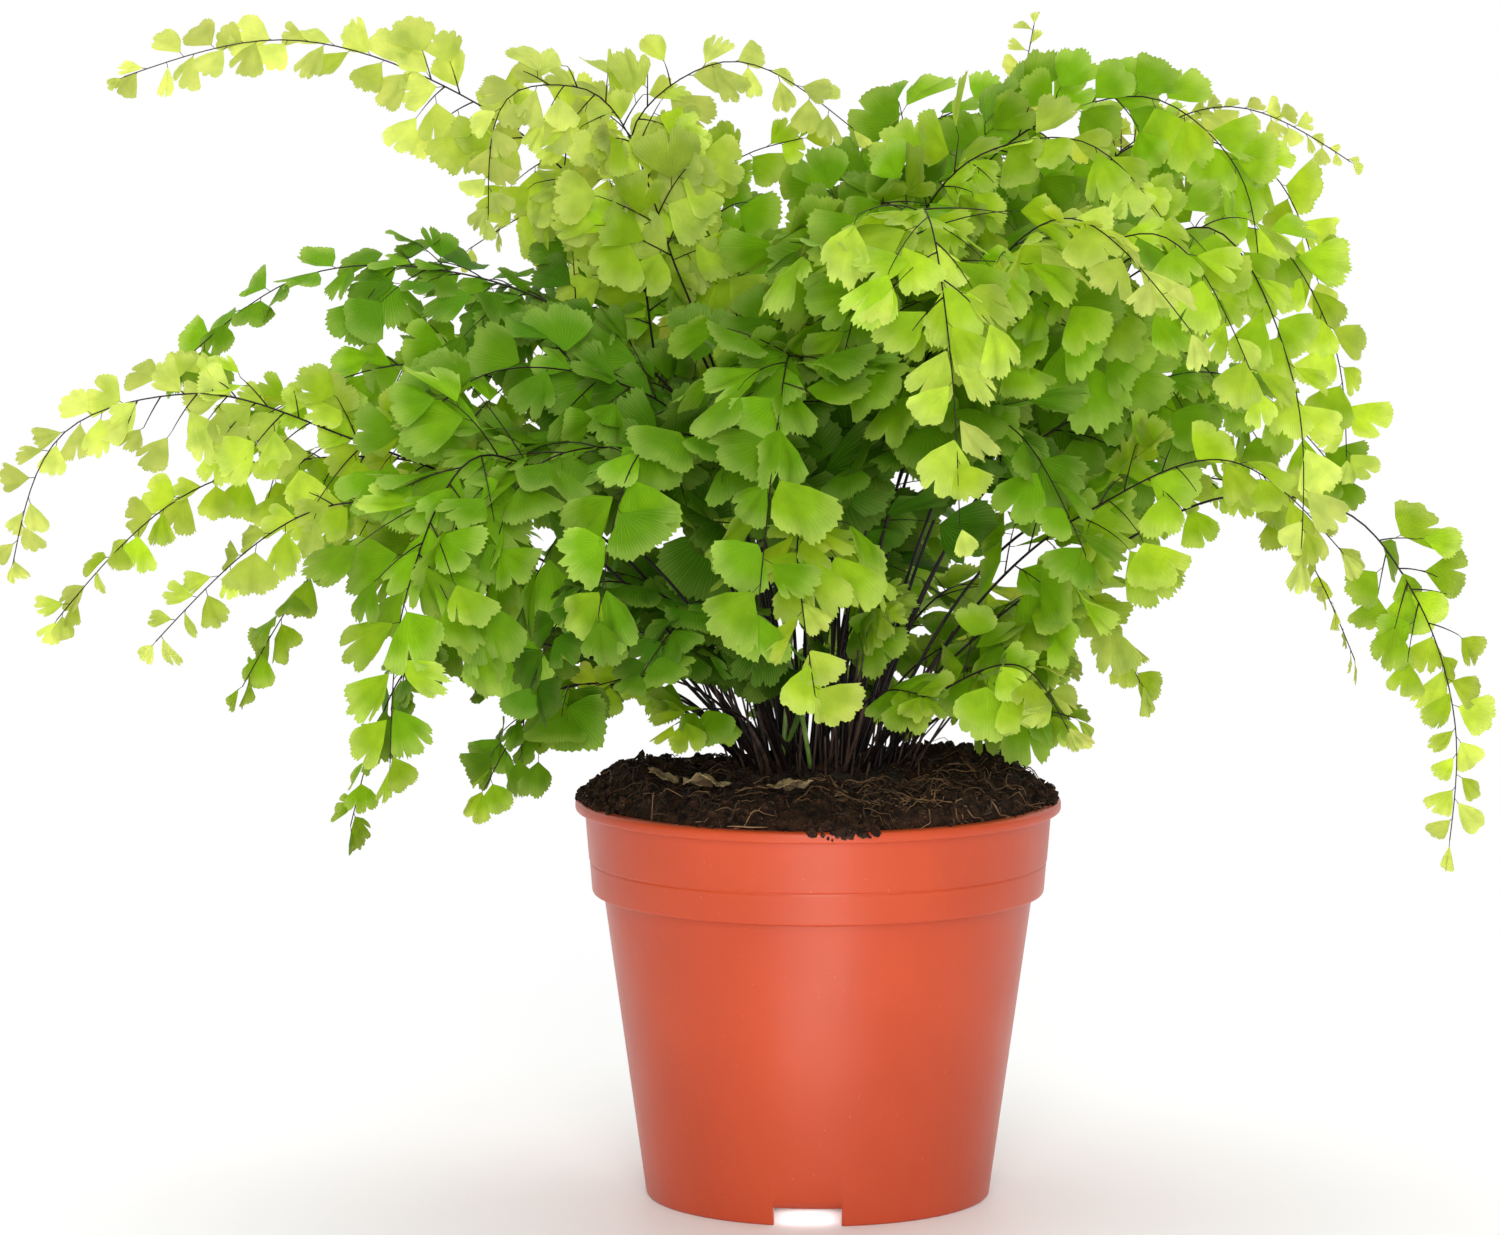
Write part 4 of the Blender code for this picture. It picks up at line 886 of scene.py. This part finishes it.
def nodes_on(frond, line, rng):
    """Where leaves leave the stalk, alternately to its left and right: their share u of the leafy part, and
    the point, run, face, side and length of the side branch at each. The branches get shorter as
    (1 - u/0.76)^0.8."""
    length = np.linalg.norm(np.diff(line, axis=0), axis=1).sum()
    leafy = length * (1 - frond.bare)
    count = max(8, round(leafy / (0.36 * frond.leaf)))
    u = ((np.arange(count) + rng.uniform(-0.32, 0.32, count)) / (count - 0.4)).clip(0, 1)
    share = frond.bare + (1 - frond.bare) * u
    at = np.linspace(0, 1, len(line))
    along, face, across = stalk_frames(line, frond.turned)
    here = lambda rows: np.stack([np.interp(share, at, rows[:, i]) for i in range(3)], 1)
    side = np.where(np.arange(count) % 2, 1, -1)[:, None]
    reach = frond.reach * (1 - u / 0.76).clip(0) ** 0.8 * rng.uniform(0.7, 1.2, count)
    return u, here(line), unit(here(along)), unit(here(face)), side * unit(here(across)), reach


def point_on(root, way, reach, sag, t):
    """The point at share t of a branch, root + reach (t way - sag t^2 up), and the way that it runs there."""
    up = np.array([0, 0, 1.0])
    point = root + reach[:, None] * (t[:, None] * way - (sag * t**2)[:, None] * up)
    return point, unit(way - (2 * sag * t)[:, None] * up)


def joined(*parts):
    """Several (corners, faces) as one."""
    starts = np.cumsum([0] + [len(corners) for corners, _ in parts])
    faces = [[start + c for c in face] for start, (_, faces) in zip(starts, parts) for face in faces]
    return np.concatenate([corners for corners, _ in parts]), faces


def grow(frond, line, rng):
    """The frond's stalks, as (corners, faces, thinness), and its leaflets, as (corners, faces, uv, tone,
    young). Where a side branch is longer than 0.6 of a leaflet it bears leaflets on both sides and one at its
    end; every node also has one leaflet that grows from the stalk itself."""
    leaf = frond.leaf
    u, root, along, face, side, reach = nodes_on(frond, line, rng)
    slant = lambda low, high, shape: np.radians(rng.uniform(low, high, shape))[:, None]
    between = lambda angle, a, b: np.cos(angle) * a + np.sin(angle) * b

    # The leaflets on the stalk. Beside a branch they lie closer along the stalk and are smaller.
    branched = reach > 0.6 * leaf
    bend = np.where(branched[:, None], slant(8, 40, len(u)), slant(26, 66, len(u)))
    near_way = between(bend, along, side)
    near_size = np.where(branched, 0.84, 1.0)

    # The side branches and their leaflets.
    k = np.flatnonzero(branched)
    outwards = between(slant(38, 66, len(k)), along[k], side[k])
    way = unit(outwards + rng.normal(0.0, 0.22, (len(k), 1)) * face[k])
    flat = square_to(face[k] + rng.normal(0, 0.14, (len(k), 3)), way)
    sag = rng.uniform(0.10, 0.36, len(k))
    length = reach[k]
    count = np.maximum(1, np.round(length / (0.40 * leaf)).astype(int) - 1)
    n = np.repeat(np.arange(len(k)), count + 1)
    place = np.arange(len(n)) - np.repeat(np.cumsum(count + 1) - (count + 1), count + 1)
    t = (place + 0.75) / (count[n] + 0.75)
    last = place == count[n]
    out, run = point_on(root[k][n], way[n], length[n], sag[n], t)
    branch_flat = square_to(flat[n], run)
    turn = np.where((place + n) % 2, 1, -1)[:, None]
    bend = np.where(last[:, None], slant(-10, 10, len(n)), slant(26, 64, len(n)))
    out_way = between(bend, run, turn * np.cross(run, branch_flat))

    # All of them that haven't been shed, with the leaflet at the frond's tip. Each hangs from its hair-thin
    # stalk by its own weight and has turned about it.
    shed = 0.07 + 0.14 * frond.young
    near_kept = rng.random(len(u)) > np.where(branched, 0.22 + shed, 0.06)
    kept = np.concatenate([near_kept, rng.random(len(n)) > 0.06 + shed, [True]])
    base = np.concatenate([root, out, line[-1:]])[kept]
    leaf_way = np.concatenate([near_way, out_way, unit(line[-1:] - line[-4:-3])])[kept]
    flat_all = np.concatenate([face, branch_flat, face[-1:]])[kept]
    u_all = np.concatenate([u, u[k][n], [1.0]])[kept]
    scale = np.concatenate([near_size, 1.04 - 0.12 * t, [0.9]])[kept]
    hang = rng.uniform(0, 1, (len(base), 1)) * (0.28 + 0.42 * frond.young)
    leaf_way = unit(leaf_way - hang * (0, 0, 1.0) + rng.normal(0, 0.12, leaf_way.shape))
    normal = square_to(flat_all + rng.normal(0, 0.18, flat_all.shape) + (0, -0.10, 0.12), leaf_way)
    twist = rng.normal(0, 0.36, (len(base), 1))
    normal = np.cos(twist) * normal + np.sin(twist) * np.cross(leaf_way, normal)
    taper = 1 - (0.16 + 0.10 * frond.young) * u_all - 0.28 * frond.young * u_all**3
    size = (1.02 + 0.12 * frond.young) * leaf * taper * scale * rng.uniform(0.74, 1.18, len(base))
    stem = rng.uniform(0.06, 0.20, (len(size), 1)) * size[:, None]
    start = base + stem * leaf_way + rng.uniform(-0.5, 0.9, (len(base), 1)) * normal
    # Leaflets low in the plant and near its middle are painted older, darker and duller: painted shade, where
    # the fronds above shade them.
    inside = 1 - np.clip((np.hypot(base[:, 0], base[:, 1]) - 45) / 50, 0, 1)
    painted_shade = (1 - frond.young) ** 1.5 * (0.7 + 0.3 * inside) * (1 - np.clip((base[:, 2] - 130) / 70, 0, 1))
    age = np.clip(frond.young + 0.42 * (u_all - 0.45) - 0.25 * painted_shade + rng.normal(0, 0.07, len(size)), 0, 1)
    spread = np.radians(rng.uniform(80, 122, len(size)) - 14 * age - 30 * frond.young * u_all**2)
    corners, faces, uv = fans(start, leaf_way, normal, size, spread, rng)
    # A leaflet's tone is random, with the painted shade taken off it.
    tone_and_shade = np.repeat(rng.uniform(0, 1, len(size)) - 0.9 * painted_shade, 1 + 2 * RAYS)
    leaflets = corners, faces, uv, tone_and_shade, np.repeat(age, 1 + 2 * RAYS)

    shares = np.linspace(0, 1, 8)
    twigs = np.stack([point_on(root[k], way, length, sag, np.full(len(k), s))[0] for s in shares], 1)
    hairs = np.stack([base, 0.5 * (base + start), start + 0.3 * leaf_way], 1)
    # The stalk goes on 2.5 mm into the rhizome.
    sunk = line[:1] + (line[:1] - line[1:2]) * (2.5 / np.linalg.norm(line[1] - line[0]))
    deeper = np.concatenate([sunk, line[::2], line[-1:]])
    fade, stalk_sides = np.linspace(0, 1, len(deeper)), 7
    bodies = (
        tubes(deeper[None], 0.14 + 0.44 * (1 - fade) ** 1.5, stalk_sides),
        tubes(twigs, np.linspace(0.20, 0.10, len(shares)), 4),
        tubes(hairs, 0.10, 3),
    )
    thin = [np.full(len(corners), value) for (corners, _), value in zip(bodies[1:], (0.7, 1.0))]
    thin = np.concatenate([np.repeat(0.4 * fade, stalk_sides), *thin])
    return (*joined(*bodies), thin), leaflets


def store_values(piece, name, values):
    """Gives each corner of the piece a value, for its finish."""
    made = piece.data.attributes.new(name, "FLOAT", "POINT")
    made.data.foreach_set("value", np.asarray(values, np.float32))


def fan_map(piece, uv):
    """Gives the piece the UV map that its veins follow."""
    piece.data.uv_layers.new(name="fan").data.foreach_set("uv", uv.astype(np.float32))


def leafy_pieces(stalk_name, leaf_name, grown):
    """One piece of all the stalks that were grown and one of all the leaflets."""
    stalks, leaflets = zip(*grown)
    stalk = mesh_piece(stalk_name, *joined(*(s[:2] for s in stalks)), stalk_black)
    store_values(stalk, "thin", np.concatenate([s[2] for s in stalks]))
    leaves = mesh_piece(leaf_name, *joined(*(s[:2] for s in leaflets)), leaf_green)
    uv, tone_and_shade, young = (np.concatenate(values) for values in list(zip(*leaflets))[2:])
    fan_map(leaves, uv)
    store_values(leaves, "tone_and_shade", tone_and_shade)
    store_values(leaves, "young", young)
    return stalk, leaves


for seed, (name, traits) in enumerate(fronds.items(), start=100):
    node, frond = "frond_" + name, Frond(*traits)
    grown = [grow(frond, fitted_line(frond, node), np.random.default_rng(seed))]
    stalk, leaves = leafy_pieces(node + "_stalk", node + "_leaflets", grown)
    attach(stalk, "root")
    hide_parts(node)
    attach(leaves, "root")
    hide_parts(node)


# The low sprigs ---------------------------------------------------------------
# Short weak fronds all round the rhizome, in the shade of the others: thin black stalks that lean out under
# the crown, longer at the left, with a few small leaflets. Each grew from the rhizome as one piece.

sprig_count, sprig_points, golden_turn = 36, 48, 137.5
sprig_rng = np.random.default_rng(77)
sprigs = []
for i in range(sprig_count):
    way = math.radians(golden_turn * i + sprig_rng.normal(0, 8))
    left = math.cos(way) < -0.3
    lean = math.radians(sprig_rng.uniform(12, 52) + (16 if left or math.sin(way) > -0.4 else 0))
    length = sprig_rng.uniform(42, 60) * (1.25 if left else 1)
    out = np.array([math.cos(way), math.sin(way), 0])
    route = [
        crown_radius * 0.5 * math.sin(lean) * out + (0, 0, crown_top - 4)
        + length * share * (math.sin(tilt) * out + math.cos(tilt) * np.array([0, 0, 1]))
        for share, tilt in ((0.4, 0.8 * lean), (0.75, lean), (1.0, lean + 0.18))
    ]  # fmt: skip
    # Sprigs that lean far out or point to the right are made younger and paler, with less painted shade:
    # painted light, where more light reaches them.
    young = 0.6 if lean > 0.9 or math.cos(way) > 0.2 else 0.1
    sprig = Frond(route, sprig_rng.uniform(0.60, 0.72), 6, sprig_rng.uniform(9, 13), 0.5, young)
    sprigs.append(grow(sprig, stalk_line(route, 0, sprig_rng.uniform(-3, 3), sprig_points), sprig_rng))
stalk, leaves = leafy_pieces("low_sprig_stalks", "low_sprig_leaflets", sprigs)
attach(stalk, "root")
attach(leaves, "root")


# The croziers -----------------------------------------------------------------
# Two young fronds that haven't unrolled: smooth soft green stalks, each bent over and ending in a flat coil
# with the leaflets still folded up along it. They grow from the rhizome.

# Where a crozier's foot is, where it bends over, where its coil starts and the coil's radius.
croziers = {
    "crozier_low": ((-2, -16), (-20, -40, 150), (-34, -46, 141), 3.0),
    "crozier_high": ((-9, -12), (-24, -26, 212), (-31, -30, 219), 3.2),
}
coil_turns, stem_points, coil_points = 1.3, 40, 48
crozier_rng = np.random.default_rng(8)

young_stalk, tree, place = new_finish("young_stalk")
along = scaled(tree, place, (1, 1, 0.3))
color = mottled(tree, along, 420.0, 0.35, 0.65, (0.13, 0.24, 0.035), (0.27, 0.40, 0.09))
color = mottled(tree, place, 1500.0, 0.62, 0.72, color, (0.20, 0.12, 0.05), 0.5)
show(tree, surface(tree, color, 0.45, 0.35))


def crozier_line(foot, bend, coil_at, coil_radius):
    """A stalk that rises, bends over and ends in a flat coil, rolled inwards in the plane of the bend: a
    spiral whose radius shrinks evenly to 0.38 of its first."""
    stem = smooth_line([foot, bend, coil_at], stem_points)
    run, back = unit(stem[-1] - stem[-2]), stem[0] - stem[-1]
    inward = unit(back - (back @ run) * run)
    share = np.linspace(0, 1, coil_points)[1:, None]
    angle, radius = 2 * math.pi * coil_turns * share, coil_radius * (1 - 0.62 * share)
    coil = stem[-1] + coil_radius * inward + radius * (np.sin(angle) * run - np.cos(angle) * inward)
    return np.concatenate([stem, coil])


for name, (foot, bend, coil_at, coil_radius) in croziers.items():
    line = crozier_line(above_crown(*foot, stalk_seat), bend, coil_at, coil_radius)
    t = np.linspace(0, 1, len(line))
    thick = 0.62 - 0.16 * t
    buds = line[-coil_points + 6 :: 2]
    bud_at = np.repeat(buds, 2, axis=0) + crozier_rng.normal(0, 0.30, (2 * len(buds), 3))
    bud_size = crozier_rng.uniform(0.35, 0.62, len(bud_at))
    body = joined(tubes(line[None], thick, 12), pebbles(bud_at, bud_size, crozier_rng))
    crozier = mesh_piece(name + "_stalk", *body, young_stalk)
    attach(crozier, "root")
    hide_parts(name)


# The dry stalks ---------------------------------------------------------------
# Two dead stalks, brown and dull, that have lost their leaves and snapped off short. Each ends in a
# splintered tip and still stands on the rhizome.

# A dry stalk's foot, a point half-way up and its broken end.
dry_stalks = {
    "dry_stalk_1": ((6, -18), (9, -23, 118), (11, -27, 127)),
    "dry_stalk_2": ((-12, -19), (-14, -24, 115), (-17, -27, 121)),
}
stick_points, splinter_count = 24, 5
splinter_rng = np.random.default_rng(9)
for name, (foot, middle, top) in dry_stalks.items():
    line = smooth_line([above_crown(*foot, stalk_seat + 0.1), middle, top], stick_points)
    ridge = 1 + 0.10 * np.sin(np.linspace(0, 22, stick_points)) + splinter_rng.normal(0, 0.03, stick_points)
    run = unit(line[-1] - line[-3])
    aside = splinter_rng.normal(0, 0.22, (splinter_count, 1, 3))
    s = np.linspace(-0.8, 1, 5)[:, None]
    long = splinter_rng.uniform(0.8, 2.2, (splinter_count, 1, 1))
    splinters = line[-1] + aside * (1 + 0.4 * s) + s * long * run
    body = joined(
        tubes(line[None], np.linspace(0.68, 0.50, stick_points) * ridge, 10),
        tubes(splinters, np.linspace(0.20, 0.05, 5), 5),
    )
    dry = mesh_piece(name + "_stick", *body, old_stalk)
    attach(dry, "root")
    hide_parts(name)


# The withered leaves ----------------------------------------------------------
# Three shed leaflets, dry, brittle and curled, each with the end of its hair-thin stalk. They lie loose
# on the soil beside the rhizome.

withered_leaf, tree, place = new_finish("withered_leaf")
vein, _ = veins_and_margin(tree)
color = mottled(tree, place, 260.0, 0.35, 0.65, (0.27, 0.165, 0.075), (0.48, 0.35, 0.18))
color = blend(tree, times(tree, vein, 0.30), color, (0.16, 0.09, 0.04))
color = mottled(tree, place, 700.0, 0.55, 0.70, color, (0.07, 0.035, 0.018), 0.7)
show(tree, surface(tree, color, 0.75, normal=bumped(tree, vein, 0.7, 0.0002)))

# A withered leaf's stalk end, the way it points in degrees and its length.
withered = {
    "withered_leaf_1": (-25, -25, -112, 14),
    "withered_leaf_2": (-33, -14, -172, 11),
    "withered_leaf_3": (-10, -31, -66, 13),
}
withered_rng = np.random.default_rng(10)
leaf_across, leaf_out = 33, 13
across, out = np.meshgrid(np.linspace(-1, 1, leaf_across), np.linspace(0, 1, leaf_out), indexing="ij")
i, j = np.meshgrid(np.arange(leaf_across - 1), np.arange(leaf_out - 1), indexing="ij")
a = (i * leaf_out + j).ravel()
quads = np.stack([a + 1, a + leaf_out + 1, a + leaf_out, a], -1)
leaf_uv = np.stack([(across + 1) / 2, out], -1).reshape(-1, 2)[quads.ravel()].ravel()
teeth = 0.05 * (np.arange(leaf_across) % 2)[:, None]
for name, (x0, y0, turn, size) in withered.items():
    torn = 1 - 0.16 * np.abs(np.sin(5.1 * across + withered_rng.uniform(0, 6))) - teeth
    reach = size * (0.15 + 0.72 * out * torn * (1 - 0.22 * np.abs(across) ** 3))
    at = math.radians(turn) + across * (0.25 + 0.55 * out)
    x, y = x0 + reach * np.cos(at), y0 + reach * np.sin(at)
    phase = withered_rng.uniform(0, 6)
    wavy = 0.05 * size * out * np.sin(6 * across + phase)
    rise = 0.16 * size * (1 - across**2) + 0.09 * size * out**2 + wavy
    corners = np.stack([x, y, soil_top(x, y) + 1.3 + rise.clip(0)], -1)
    leaf = mesh_piece(name + "_blade", corners.reshape(-1, 3), quads.tolist(), withered_leaf)
    fan_map(leaf, leaf_uv)
    thicken = leaf.modifiers.new("thickness", "SOLIDIFY")
    thicken.thickness, thicken.offset = 0.25 * MM, 0
    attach(leaf, "root")
    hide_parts(name)
    t = np.linspace(0, 1, 8)[:, None]
    end = corners[leaf_across // 2, 0]
    back = np.array([math.cos(math.radians(turn)), math.sin(math.radians(turn)), 0])
    bow = np.array([-back[1], back[0], 0.4]) * 0.8
    hair = end + 0.8 * back - 4.5 * t * back + bow * np.sin(math.pi * t)
    hair[:, 2] = np.maximum(hair[:, 2] - 0.8 * t[:, 0], soil_top(hair[:, 0], hair[:, 1]) + 0.3)
    stem = mesh_piece(name + "_stem", *tubes(hair[None], 0.16, 6), old_stalk)
    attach(stem, "root")


low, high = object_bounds()
